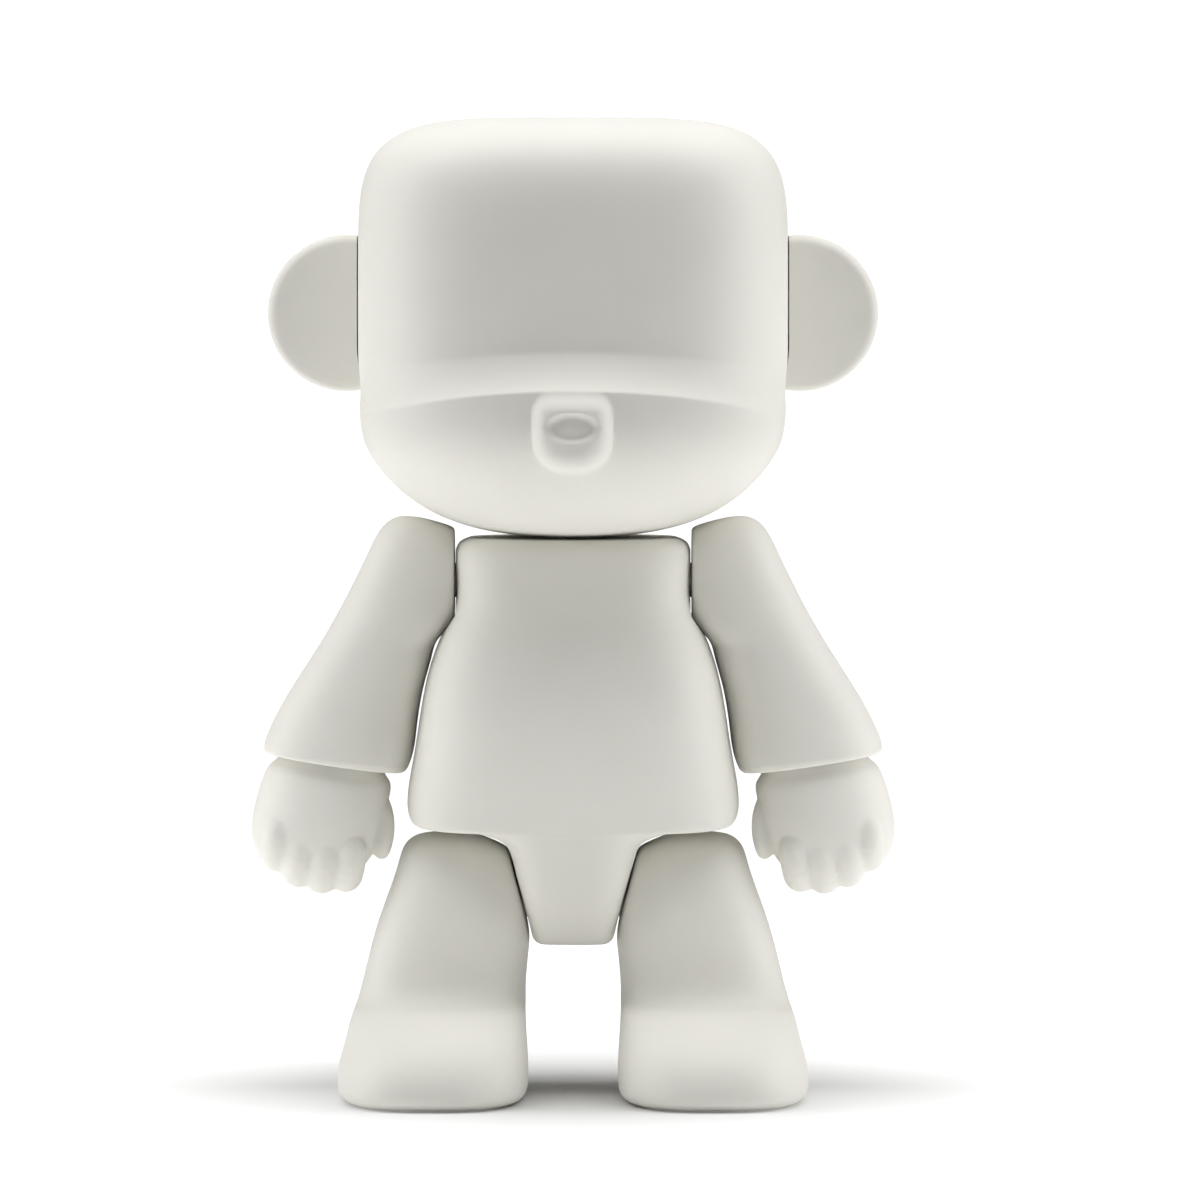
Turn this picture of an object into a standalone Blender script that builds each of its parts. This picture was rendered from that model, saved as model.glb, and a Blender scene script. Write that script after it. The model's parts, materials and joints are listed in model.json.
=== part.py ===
"""Blank articulated figure, 8 inches tall, as an assembly of moulded shells on swivel studs.

Run with: blender --background --python part.py

The figure stands on the plane z = 0 and faces -Y, so its own left side is at +X.
Head, torso, arms and legs are each a front and a rear shell that meet at one upright
parting plane, y = SPINE_Y. The two shells of a casing close round the moulded studs that
join it to its neighbours. Each stud has a hexagonal key, trapped in one casing, and a
round flange, which turns behind the wall of the other one with a soft washer under it.
"""

import math
from typing import NamedTuple

import bmesh
import bpy
from mathutils import Matrix, Vector

MM = 0.001

# Overall
HEIGHT = 203.2 * MM
SPINE_Y = 4.0 * MM  # the parting plane, where every swivel axis lies
WALL = 2.3 * MM
GAP = 0.3 * MM  # between pieces that touch
OVERSHOOT = 20.0 * MM  # how far a cutter runs past what it cuts
FAR = 60.0 * MM  # past the front and the back of every piece
SHARP_ANGLE = math.radians(35)
SIDES = {"left": 1, "right": -1}
UP = Vector((0, 0, 1))

# Points round a ring of each skin, and of the hollow inside it
HEAD_RING = 32
TORSO_RING = 24
ARM_RING = 18
LEG_RING = 20
PALM_RING = 20
HOLLOW_RING = 16
ARM_HOLLOW_RING = 12
STUD_RING = 16
POST_RING = 8
DISC_RING = 28
KEY_RING = 6

# Head
HEAD_HALF_WIDTH = 44.6 * MM
HEAD_DEPTH_SHARE = 43.0 / 44.6  # half depth over half width
HEAD_POWER = 3.0  # squareness of the plan outline above the jaw
HEAD_BASE_Z = 116.2 * MM
ROUND_BELOW_Z = 122.0 * MM  # from here down the plan outline is round
CROWN_START_Z = 170.0 * MM
CROWN_POWER = 4.5
CROWN_FLAT = 0.45  # size of the flat top against the ring below it
JAW_HALF_WIDTH = 43.4 * MM
JAW_TOP_Z = 147.0 * MM
JAW_HEIGHT = 31.0 * MM
JAW_POWER = 2.5
JAW_BLEND_HEIGHT = 9.0 * MM
HEAD_ROWS = (116.2, 118, 121, 125.5, 132, 139, 144.5, 146.1, 147.6, 149.6, 152.2, 155.6)
CROWN_ROWS = (172, 183, 190.5, 195.5, 199.2, 201.6, 202.8)
HEAD_HOLLOW_ROWS = (118.6, 123, 129, 137, 145, 149, 157, 172, 187, 196, 200.4)
HEAD_FLOOR_SHARE = 0.86

# Brow, nose and ears
BROW_REACH_FRONT = 5.2 * MM
BROW_REACH_SIDE = 1.2 * MM
BROW_HEIGHT = 8.5 * MM  # from the lip up to where the ledge fades into the forehead
BROW_LIP = 0.5 * MM
BROW_SAG = 6.5 * MM  # the lip arches down by this much towards the sides of the face
BROW_SPREAD = 14.0 * MM
BROW_HOLLOW_POWER = 1.35
BROW_TURN = 0.5  # the ledge is whole where its outward direction is this much forward
NOSE_HALF_WIDTH = 8.3 * MM
NOSE_REACH = 51.0 * MM  # in front of the spine
NOSE_LOW_Z = 131.6 * MM
NOSE_HIGH_Z = 147.2 * MM
NOSE_ROOT = 12.0 * MM
NOSE_EDGE = 3.2 * MM
DIMPLE_SIZE = Vector((5.8, 1.2, 3.3)) * MM
DIMPLE_Z = 140.3 * MM
EAR_RADIUS = 16.2 * MM
EAR_X = 47.2 * MM
EAR_Z = 162.6 * MM
EAR_THICKNESS = 9.0 * MM
EAR_EDGE = 1.6 * MM
EAR_TAB = Vector((14.0, 3.6, 9.0)) * MM
EAR_TAB_END = 47.6 * MM  # the tab runs from here inwards, and ends in the hook
EAR_HOOK = Vector((2.4, 3.6, 16.0)) * MM

# Torso and pelvis, in millimetres: height, half width, half depth
TORSO_POWER = 3.2
TORSO_OUTLINE = (
    (55.8, 31.6, 22.15),
    (56.4, 33.2, 22.29),
    (57.6, 34.0, 22.57),
    (62.0, 34.5, 23.6),
    (71.0, 33.1, 24.9),
    (80.0, 31.7, 25.2),
    (88.0, 30.1, 24.3),
    (94.0, 28.1, 23.1),
    (98.4, 26.1, 21.9),
    (101.5, 24.8, 21.1),
    (109.0, 24.4, 19.3),
    (114.6, 23.9, 17.2),
    (115.9, 21.6, 15.0),
)
TORSO_HOLLOW_FLOOR = (58.4, 34.2, 22.2)
TORSO_HOLLOW_ROOF = (113.6, 21.6, 16.4)
PELVIS_POWER = 4.0
PELVIS_OUTLINE = (
    (31.4, 7.3, 8.6),
    (32.0, 8.1, 10.2),
    (34.5, 8.9, 12.9),
    (38.0, 9.8, 15.4),
    (42.0, 10.85, 17.7),
    (46.0, 11.9, 19.5),
    (50.0, 12.9, 20.8),
    (52.4, 14.2, 21.4),
    (54.0, 17.0, 21.7),
    (54.9, 20.2, 21.95),
    (55.4, 25.0, 22.06),
)
PELVIS_HOLLOW_POWER = 6.0
PELVIS_HOLLOW = (
    (33.4, 6.1, 8.0),
    (36.0, 6.8, 11.2),
    (42.0, 8.4, 14.6),
    (49.0, 10.2, 17.6),
    (60.5, 13.2, 19.2),
)
NECK_BLOCK_HALF = 10.3 * MM
NECK_BLOCK_Z = (107.4 * MM, 115.0 * MM)

# Arms, in millimetres: x and z of the inner end, x and z of the outer end, half depth
ARM_POWER = 2.35
ARM_OUTLINE = (
    (27.5, 118.9, 36.4, 120.2, 5.0),
    (23.5, 117.2, 39.8, 118.0, 8.4),
    (21.5, 114.0, 42.8, 112.6, 10.6),
    (21.5, 107.5, 46.2, 105.6, 11.6),
    (22.7, 101.5, 49.6, 99.2, 12.0),
    (25.6, 97.4, 52.4, 94.4, 12.2),
    (28.5, 94.1, 54.4, 91.2, 12.4),
    (29.4, 91.4, 56.2, 88.4, 12.7),
    (31.25, 84.5, 60.2, 82.0, 13.2),
    (32.65, 76.0, 63.0, 76.6, 13.7),
    (33.8, 69.6, 64.4, 72.8, 14.1),
    (35.0, 66.7, 64.5, 71.1, 14.1),
)
ARM_ROOF_DROP = 1.2 * MM
SHOULDER_FACE_X = 24.7 * MM
SHOULDER_Z = 107.0 * MM
SHOULDER_WALL = 2.7 * MM  # from the arm's inner face to the recess in the torso
SHOULDER_RECESS = 9.0 * MM
SHOULDER_SEAT_RADIUS = 12.4 * MM
SLEEVE_MOUTH_RADIUS = 11.9 * MM
SLEEVE_MOUTH_DEPTH = 3.0 * MM
SLEEVE_FLOOR = 2.2 * MM
SLEEVE_RING = 32
WRIST_X = 50.35 * MM
WRIST_Z = 68.9 * MM
WRIST_TILT = math.radians(8.84)  # the hand hangs outwards by this much

# Hands, in millimetres from the wrist: height, centre x, half width, half depth
PALM_POWER = 2.3
PALM_OUTLINE = (
    (2.3, 0.0, 10.6, 10.6),
    (-0.6, 0.0, 11.2, 11.2),
    (-2.2, 0.0, 12.6, 12.2),
    (-6.0, 0.5, 13.4, 13.0),
    (-12.0, 1.0, 13.7, 13.3),
    (-17.5, 1.4, 12.8, 12.4),
    (-21.5, 1.6, 10.6, 10.2),
    (-24.0, 1.6, 7.6, 7.4),
)
# Fingers, in millimetres from the wrist: x, height, radius
FINGERS = (
    (-6.4, -22.8, 3.4),
    (-1.6, -23.8, 3.5),
    (3.2, -23.2, 3.5),
    (7.8, -20.8, 3.3),
)
FINGER_Y = (-6.2 * MM, 6.6 * MM)
THUMB_RADIUS = 3.1 * MM
THUMB_ROOT = Vector((-9.6, -2.6, -7.4)) * MM
THUMB_TIP = Vector((-12.5, -4.4, -17.3)) * MM

# Legs, in millimetres: height, inner x, outer x, then front and back from the spine
LEG_POWER = 2.8
LEG_OUTLINE = (
    (0.6, 10.6, 47.4, -40.4, 18.0),
    (2.2, 9.5, 48.6, -42.2, 19.2),
    (5.0, 9.3, 48.8, -42.6, 19.6),
    (10.5, 9.5, 47.7, -40.4, 19.4),
    (15.6, 9.8, 46.4, -33.2, 18.8),
    (18.2, 9.9, 45.5, -24.8, 18.4),
    (19.9, 9.9, 44.9, -17.6, 18.1),
    (22.0, 9.9, 44.3, -15.7, 17.7),
    (33.0, 9.0, 41.5, -14.9, 15.8),
    (41.0, 9.0, 38.8, -14.5, 14.5),
    (46.5, 10.2, 36.9, -13.0, 13.0),
    (50.5, 13.0, 35.7, -10.0, 10.0),
    (52.9, 17.3, 34.0, -5.9, 5.9),
    (54.2, 21.3, 31.0, -1.4, 1.4),
)
SOLE_ROW = LEG_OUTLINE[2]
LEG_HOLLOW_ROOF = (51.2, 15.0, 33.8, -7.0, 7.0)
HIP_X = 10.68 * MM
HIP_Z = 40.0 * MM
HIP_TILT = math.radians(14.57)  # the hip's flat face leans outwards by this much
PELVIS_WALL = 2.7 * MM  # from the leg's inner face to the room inside the pelvis
SOLE_THICKNESS = 2.8 * MM

# Studs, washers, and the block of wall that holds a limb stud's key
KEY_BLOCK = Vector((3.2, 17.8, 16.2)) * MM
NECK_REACH = 5.6 * MM  # from the head's floor down to the key in the torso
LIMB_REACH = WALL + GAP + 0.2 * MM  # from a limb's inner face to the key in the limb
WRIST_REACH = 4.0 * MM  # from the sleeve's end down to the key in the hand
FLANGE_EDGE = 0.5 * MM
KEY_COVER = 0.4 * MM

# Locating posts and their pins, in millimetres: x and z
POST_RADIUS = 2.7 * MM
PIN_RADIUS = 1.2 * MM
PIN_LENGTH = 3.0 * MM
HEAD_POSTS = ((34.0, 192.0), (-34.0, 192.0), (35.5, 137.5), (-35.5, 137.5))
TORSO_POSTS = ((26.5, 66.0), (-26.5, 66.0))
ARM_POSTS = ((41.0, 107.5), (52.5, 87.5))
LEG_POSTS = ((38.5, 12.0), (18.0, 23.5), (33.0, 47.5))

# Finishes: colour, roughness
FINISHES = {
    "casing_white": ((0.83, 0.82, 0.80), 0.55),
    "hand_white": ((0.84, 0.83, 0.81), 0.60),
    "sole_white": ((0.78, 0.77, 0.75), 0.65),
    "stud_nylon": ((0.88, 0.87, 0.83), 0.35),
    "washer_rubber": ((0.42, 0.42, 0.41), 0.80),
}


class Section(NamedTuple):
    """One ring of a loft: a superellipse with two half axes and a squareness."""

    centre: Vector
    side: Vector
    deep: Vector
    power: float


class StudSize(NamedTuple):
    flange: float
    shaft: float
    key: float
    flange_thickness: float
    washer_thickness: float
    key_thickness: float


class Swivel(NamedTuple):
    """A stud's place: the foot of its shaft, the way to its flange, and its two lengths."""

    name: str
    size: StudSize
    centre: Vector
    direction: Vector
    wall: float  # from the centre to the wall's far side, under the washer
    reach: float  # from the centre to the key, the other way


NECK_STUD = StudSize(11.0 * MM, 5.6 * MM, 8.6 * MM, 2.4 * MM, 1.2 * MM, 2.6 * MM)
LIMB_STUD = StudSize(6.0 * MM, 3.6 * MM, 6.0 * MM, 2.0 * MM, 0.9 * MM, 2.2 * MM)


# ---------------------------------------------------------------- scene


def clear_scene():
    for obj in list(bpy.data.objects):
        bpy.data.objects.remove(obj, do_unlink=True)


def new_collection(name):
    collection = bpy.data.collections.new(name)
    bpy.context.scene.collection.children.link(collection)
    return collection


def new_material(name):
    colour, roughness = FINISHES[name]
    material = bpy.data.materials.new(name)
    material.use_nodes = True
    shader = material.node_tree.nodes["Principled BSDF"]
    shader.inputs["Base Color"].default_value = (*colour, 1.0)
    shader.inputs["Roughness"].default_value = roughness
    shader.inputs["Metallic"].default_value = 0.0
    return material


clear_scene()
FIGURE = new_collection("blank_figure")
CUTTERS = new_collection("cutters")
MATERIALS = {name: new_material(name) for name in FINISHES}


def add_piece(name, mesh, finish):
    piece = bpy.data.objects.new(name, mesh)
    piece.data.materials.append(MATERIALS[finish])
    FIGURE.objects.link(piece)
    return piece


def add_helper(mesh):
    """A cutter, or a shape that is joined to a piece. It isn't part of the figure."""
    helper = bpy.data.objects.new(mesh.name, mesh)
    helper.hide_render = True
    helper.display_type = "WIRE"
    CUTTERS.objects.link(helper)
    return helper


def combine(piece, other, operation):
    """Cutters share planes with each other, which only the manifold solver keeps closed."""
    boolean = piece.modifiers.new(f"{operation.lower()}_{other.name}", "BOOLEAN")
    boolean.operation = operation
    boolean.solver = "MANIFOLD"
    boolean.object = other


def cut(piece, *others):
    for other in others:
        combine(piece, other, "DIFFERENCE")


def join(piece, *others):
    for other in others:
        combine(piece, other, "UNION")


def place_on_axis(pieces, centre, direction):
    """Puts each piece's origin at the centre, with its local +Z along the direction."""
    for piece in pieces:
        piece.location = centre
        piece.rotation_mode = "QUATERNION"
        piece.rotation_quaternion = Vector(direction).to_track_quat("Z", "Y")


def hang_on(pivot, pieces):
    """Parents the pieces to the pivot and leaves them where they are."""
    turn = pivot.rotation_quaternion.to_matrix().to_4x4()
    placement = Matrix.Translation(pivot.location) @ turn
    for piece in pieces:
        piece.parent = pivot
        piece.matrix_parent_inverse = placement.inverted()


def add_pivot(swivel, pieces):
    """An empty on a joint's axis that carries everything that turns on the joint."""
    pivot = bpy.data.objects.new(f"{swivel.name}_pivot", None)
    pivot.empty_display_size = 10 * MM
    FIGURE.objects.link(pivot)
    place_on_axis([pivot], swivel.centre, swivel.direction)
    hang_on(pivot, pieces)
    return pivot


# ---------------------------------------------------------------- shapes


def mesh_from(name, bm):
    bmesh.ops.recalc_face_normals(bm, faces=bm.faces)
    mesh = bpy.data.meshes.new(name)
    bm.to_mesh(mesh)
    bm.free()
    mesh.shade_smooth()
    mesh.set_sharp_from_angle(angle=SHARP_ANGLE)
    return mesh


def ring_point(section, angle):
    across, along = math.cos(angle), math.sin(angle)
    size = (abs(across) ** section.power + abs(along) ** section.power) ** (1 / section.power)
    return section.centre + section.side * (across / size) + section.deep * (along / size)


def loft_mesh(name, sections, count, warp=Vector):
    """A closed skin through rings of count points, with a flat cap at each end."""
    bm = bmesh.new()
    angles = [2 * math.pi * step / count for step in range(count)]
    rings = [
        [bm.verts.new(warp(ring_point(section, angle))) for angle in angles]
        for section in sections
    ]
    for low, high in zip(rings, rings[1:]):
        for step in range(count):
            after = (step + 1) % count
            bm.faces.new((low[step], low[after], high[after], high[step]))
    bm.faces.new(rings[0])
    bm.faces.new(rings[-1])
    return mesh_from(name, bm)


def upright_sections(outline, power, inset=0.0):
    """Level rings round the spine from rows of height, half width and half depth."""
    return [
        Section(
            Vector((0, SPINE_Y, z * MM)),
            Vector((half_width * MM - inset, 0, 0)),
            Vector((0, half_depth * MM - inset, 0)),
            power,
        )
        for z, half_width, half_depth in outline
    ]


def box_mesh(name, low, high):
    bm = bmesh.new()
    bmesh.ops.create_cube(bm, size=1.0)
    size = [b - a for a, b in zip(low, high)]
    middle = [(a + b) / 2 for a, b in zip(low, high)]
    bmesh.ops.scale(bm, vec=size, verts=bm.verts)
    bmesh.ops.translate(bm, vec=middle, verts=bm.verts)
    return mesh_from(name, bm)


def centred_box_mesh(name, centre, size):
    half = Vector(size) / 2
    return box_mesh(name, Vector(centre) - half, Vector(centre) + half)


def add_rod(bm, start, end, radius, sides):
    start, end = Vector(start), Vector(end)
    along = end - start
    turn = along.to_track_quat("Z", "Y").to_matrix().to_4x4()
    bmesh.ops.create_cone(
        bm,
        cap_ends=True,
        segments=sides,
        radius1=radius,
        radius2=radius,
        depth=along.length,
        matrix=Matrix.Translation((start + end) / 2) @ turn,
    )


def rod_mesh(name, start, end, radius, sides=STUD_RING):
    bm = bmesh.new()
    add_rod(bm, start, end, radius, sides)
    return mesh_from(name, bm)


def capsule_mesh(name, start, end, radius):
    """A round-ended rod, made by pulling the upper half of a ball away from the lower one."""
    length = (end - start).length
    turn = (end - start).to_track_quat("Z", "Y").to_matrix().to_4x4()
    bm = bmesh.new()
    bmesh.ops.create_uvsphere(bm, u_segments=POST_RING, v_segments=6, radius=radius)
    for vert in bm.verts:
        if vert.co.z > radius / 100:
            vert.co.z += length
    bmesh.ops.transform(bm, matrix=Matrix.Translation(start) @ turn, verts=bm.verts)
    return mesh_from(name, bm)


def turned_piece(name, profile, finish):
    """A piece turned about local Z. The profile, radius and height, runs down its outer side."""
    bm = bmesh.new()
    points = [bm.verts.new((radius, 0, height)) for radius, height in profile]
    for upper, lower in zip(points, points[1:]):
        bm.edges.new((upper, lower))
    if profile[0][0] > 0:
        bm.edges.new((points[-1], points[0]))
    mesh = bpy.data.meshes.new(name)
    bm.to_mesh(mesh)
    bm.free()
    piece = add_piece(name, mesh, finish)
    screw = piece.modifiers.new("turn", "SCREW")
    screw.axis = "Z"
    screw.angle = 2 * math.pi
    screw.steps = STUD_RING
    screw.render_steps = STUD_RING
    screw.use_merge_vertices = True
    screw.merge_threshold = 0.01 * MM
    screw.use_smooth_shade = True
    return piece


# ---------------------------------------------------------------- shells


def half_space(name, front):
    """All the space in front of the parting plane, or behind it, less half the gap."""
    limit = 2 * FAR
    plane = SPINE_Y - GAP / 2 if front else SPINE_Y + GAP / 2
    low = (-limit, -limit if front else plane, -limit)
    high = (limit, plane if front else limit, HEIGHT + limit)
    return add_helper(box_mesh(name, low, high))


HALF_SPACES = {"front": half_space("front_space", True), "rear": half_space("rear_space", False)}


def rods_across(name, spots, start_y, end_y, radius):
    """A rod along Y at each spot of x and z."""
    bm = bmesh.new()
    for x, z in spots:
        add_rod(bm, (x * MM, start_y, z * MM), (x * MM, end_y, z * MM), radius, POST_RING)
    return add_helper(mesh_from(name, bm))


def leave_posts(name, hollow, spots):
    """Takes round columns out of the hollow, so that they stay as posts in both shells."""
    cut(hollow, rods_across(f"{name}_posts", spots, SPINE_Y - FAR, SPINE_Y + FAR, POST_RADIUS))


def split_casing(name, skin, extras, cutters, spots):
    """The front and the rear shell of one casing, with pins in front and sockets behind."""
    start = SPINE_Y - PIN_LENGTH
    end = SPINE_Y + PIN_LENGTH
    pins = rods_across(f"{name}_pins", spots, start, end, PIN_RADIUS)
    sockets = rods_across(f"{name}_sockets", spots, start, end + 2 * GAP, PIN_RADIUS + GAP)
    shells = {}
    for place, space in HALF_SPACES.items():
        shells[place] = add_piece(f"{name}_{place}_shell", skin, "casing_white")
        join(shells[place], *extras)
        cut(shells[place], *cutters)
        combine(shells[place], space, "INTERSECT")
    join(shells["front"], pins)
    cut(shells["rear"], sockets)
    return list(shells.values())


# ---------------------------------------------------------------- studs


def add_stud(swivel):
    """A stud with a round flange at one end and a hexagonal key at the other."""
    size = swivel.size
    flange_low = swivel.wall + size.washer_thickness + 2 * GAP
    flange_high = flange_low + size.flange_thickness
    key_low = -swivel.reach - size.key_thickness
    profile = (
        (0.0, flange_high),
        (size.flange - FLANGE_EDGE, flange_high),
        (size.flange, flange_high - FLANGE_EDGE),
        (size.flange, flange_low),
        (size.shaft, flange_low),
        (size.shaft, key_low + KEY_COVER),
        (0.0, key_low + KEY_COVER),
    )
    stud = turned_piece(f"{swivel.name}_stud", profile, "stud_nylon")
    ends = (0, 0, key_low), (0, 0, -swivel.reach)
    key = add_helper(rod_mesh(f"{swivel.name}_key", *ends, size.key, KEY_RING))
    join(stud, key)
    place_on_axis([stud, key], swivel.centre, swivel.direction)
    return stud


def add_washer(swivel):
    """The soft ring between the wall and the stud's flange."""
    size = swivel.size
    low = swivel.wall + GAP
    high = low + size.washer_thickness
    outer = size.flange - FLANGE_EDGE
    inner = size.shaft + GAP
    profile = ((outer, high), (outer, low), (inner, low), (inner, high))
    washer = turned_piece(f"{swivel.name}_washer", profile, "washer_rubber")
    place_on_axis([washer], swivel.centre, swivel.direction)
    return washer


def key_room(swivel):
    """Cutters for the hexagonal pocket of a stud's key and for the bore of its shaft."""
    size = swivel.size
    top = -swivel.reach + GAP
    bottom = -swivel.reach - size.key_thickness - GAP
    pocket = rod_mesh(
        f"{swivel.name}_pocket", (0, 0, bottom), (0, 0, top), size.key + GAP, KEY_RING
    )
    bore = rod_mesh(
        f"{swivel.name}_bore", (0, 0, bottom - GAP), (0, 0, OVERSHOOT), size.shaft + GAP
    )
    helpers = [add_helper(pocket), add_helper(bore)]
    place_on_axis(helpers, swivel.centre, swivel.direction)
    return helpers


def limb_room(swivel):
    """What a limb's hollow leaves solid: its flat inner wall, and the block round the key."""
    broad = Vector((FAR, FAR, 0))
    wall = box_mesh(f"{swivel.name}_wall", -broad - WALL * UP, broad + FAR * UP)
    half = Vector((KEY_BLOCK.y, KEY_BLOCK.z, 0)) / 2
    bottom = (WALL + KEY_BLOCK.x) * UP
    block = box_mesh(f"{swivel.name}_block", -half - bottom, half + FAR * UP)
    helpers = [add_helper(wall), add_helper(block)]
    place_on_axis(helpers, swivel.centre, swivel.direction)
    return helpers


def flat_face(swivel):
    """Takes away all of a limb that is past the flat face of its joint."""
    broad = Vector((FAR, FAR, 0))
    face = add_helper(box_mesh(f"{swivel.name}_face", -broad, broad + FAR * UP))
    place_on_axis([face], swivel.centre, swivel.direction)
    return face


# ---------------------------------------------------------------- head


def crown_scale(z):
    rise = max(0.0, (z - CROWN_START_Z) / (HEIGHT - CROWN_START_Z))
    return max(0.0, 1 - rise**CROWN_POWER) ** (1 / CROWN_POWER)


def jaw_scale(z):
    drop = max(0.0, (JAW_TOP_Z - z) / JAW_HEIGHT)
    return max(0.0, 1 - drop**JAW_POWER) ** (1 / JAW_POWER)


def head_half_width(z):
    if z < JAW_TOP_Z:
        return JAW_HALF_WIDTH * jaw_scale(z)
    blend = min(1.0, (z - JAW_TOP_Z) / JAW_BLEND_HEIGHT)
    full = JAW_HALF_WIDTH + (HEAD_HALF_WIDTH - JAW_HALF_WIDTH) * blend
    return full * crown_scale(z)


def head_power(z):
    """The plan outline is squarish above the jaw and round below it, so that the head can turn."""
    blend = (z - ROUND_BELOW_Z) / (JAW_TOP_Z - ROUND_BELOW_Z)
    return 2.0 + (HEAD_POWER - 2.0) * min(1.0, max(0.0, blend))


def head_sections(rows, inset=0.0):
    sections = []
    for row in rows:
        z = row * MM
        half_width = head_half_width(z) - inset
        side = Vector((half_width, 0, 0))
        deep = Vector((0, half_width * HEAD_DEPTH_SHARE, 0))
        sections.append(Section(Vector((0, SPINE_Y, z)), side, deep, head_power(z)))
    return sections


def resized(section, share, z):
    centre = Vector((section.centre.x, section.centre.y, z))
    return Section(centre, section.side * share, section.deep * share, section.power)


def brow_share(z):
    """How far the face stands out: least at the chin, most at the lip, with a slope above it."""
    above = z - JAW_TOP_Z
    if above < BROW_LIP:
        drop = min(1.0, max(0.0, -above / JAW_HEIGHT))
        return 1 - drop**2
    left = max(0.0, (BROW_HEIGHT - above) / (BROW_HEIGHT - BROW_LIP))
    return left**BROW_HOLLOW_POWER


def shape_brow(point):
    """Pushes the face out under a brow ledge that arches down towards the sides."""
    x, y = point.x, point.y - SPINE_Y
    radius = math.hypot(x, y)
    forward = -y / radius
    facing = min(1.0, max(0.0, forward / BROW_TURN))
    side = BROW_REACH_SIDE * facing
    front = BROW_REACH_FRONT * max(0.0, forward) ** 2
    scale = 1 + (side + front) * brow_share(point.z) / radius
    nearness = math.exp(-(((point.z - JAW_TOP_Z) / BROW_SPREAD) ** 2))
    sag = BROW_SAG * (x / HEAD_HALF_WIDTH) ** 2 * nearness * facing
    return Vector((x * scale, SPINE_Y + y * scale, point.z - sag))


def head_hollow():
    sections = head_sections(HEAD_HOLLOW_ROWS, WALL)
    sections[0] = resized(sections[0], HEAD_FLOOR_SHARE, sections[0].centre.z)
    return add_helper(loft_mesh("head_hollow", sections, HOLLOW_RING, shape_brow))


def nose_block():
    front = SPINE_Y - NOSE_REACH
    low = (-NOSE_HALF_WIDTH, front, NOSE_LOW_Z)
    high = (NOSE_HALF_WIDTH, front + NOSE_ROOT, NOSE_HIGH_Z)
    nose = add_helper(box_mesh("nose_block", low, high))
    bevel = nose.modifiers.new("rounding", "BEVEL")
    bevel.width = NOSE_EDGE
    bevel.segments = 2
    bevel.limit_method = "NONE"
    bm = bmesh.new()
    bmesh.ops.create_uvsphere(bm, u_segments=12, v_segments=6, radius=1.0)
    bmesh.ops.scale(bm, vec=DIMPLE_SIZE, verts=bm.verts)
    dimple = add_helper(mesh_from("nose_dimple", bm))
    dimple.location = (0, front, DIMPLE_Z)
    cut(nose, dimple)
    return nose


def ear_slot():
    """The slot through both sides of the head that the ears' tabs pass through."""
    size = (2 * (EAR_X + OVERSHOOT), EAR_TAB.y + 2 * GAP, EAR_TAB.z + 2 * GAP)
    return add_helper(centred_box_mesh("ear_slot", (0, SPINE_Y, EAR_Z), size))


def make_ear(name, side, head_clearance):
    """A flat round ear whose hooked tab is trapped between the two head shells."""
    front = (side * EAR_X, SPINE_Y - EAR_THICKNESS / 2, EAR_Z)
    back = (side * EAR_X, SPINE_Y + EAR_THICKNESS / 2, EAR_Z)
    ear = add_piece(name, rod_mesh(name, front, back, EAR_RADIUS, DISC_RING), "casing_white")
    bevel = ear.modifiers.new("edge", "BEVEL")
    bevel.width = EAR_EDGE
    bevel.segments = 2
    bevel.limit_method = "ANGLE"
    cut(ear, head_clearance)
    tab_x = EAR_TAB_END - EAR_TAB.x / 2
    hook_x = EAR_TAB_END - EAR_TAB.x + EAR_HOOK.x / 2
    for part, x, size in (("tab", tab_x, EAR_TAB), ("hook", hook_x, EAR_HOOK)):
        mesh = centred_box_mesh(f"{name}_{part}", (side * x, SPINE_Y, EAR_Z), size)
        join(ear, add_helper(mesh))
    return ear


def make_head(neck):
    rows = HEAD_ROWS + CROWN_ROWS
    sections = head_sections(rows)
    sections.append(resized(sections[-1], CROWN_FLAT, HEIGHT))
    skin = loft_mesh("head_skin", sections, HEAD_RING, shape_brow)
    hollow = head_hollow()
    leave_posts("head", hollow, HEAD_POSTS)
    bore_ends = neck.centre - OVERSHOOT * UP, neck.centre + 2 * WALL * UP
    bore = add_helper(rod_mesh("neck_floor_bore", *bore_ends, NECK_STUD.shaft + GAP))
    pieces = split_casing("head", skin, [nose_block()], [hollow, bore, ear_slot()], HEAD_POSTS)
    outside = loft_mesh("head_clearance", head_sections(rows, -GAP), HEAD_RING, shape_brow)
    clearance = add_helper(outside)
    for label, side in SIDES.items():
        pieces.append(make_ear(f"ear_{label}", side, clearance))
    add_pivot(neck, [*pieces, add_washer(neck)])


# ---------------------------------------------------------------- torso


def side_rod(name, side, start_x, end_x, z, radius):
    """A rod along X on one side of the spine."""
    start = Vector((side * start_x, SPINE_Y, z))
    end = Vector((side * end_x, SPINE_Y, z))
    return add_helper(rod_mesh(name, start, end, radius))


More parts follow.
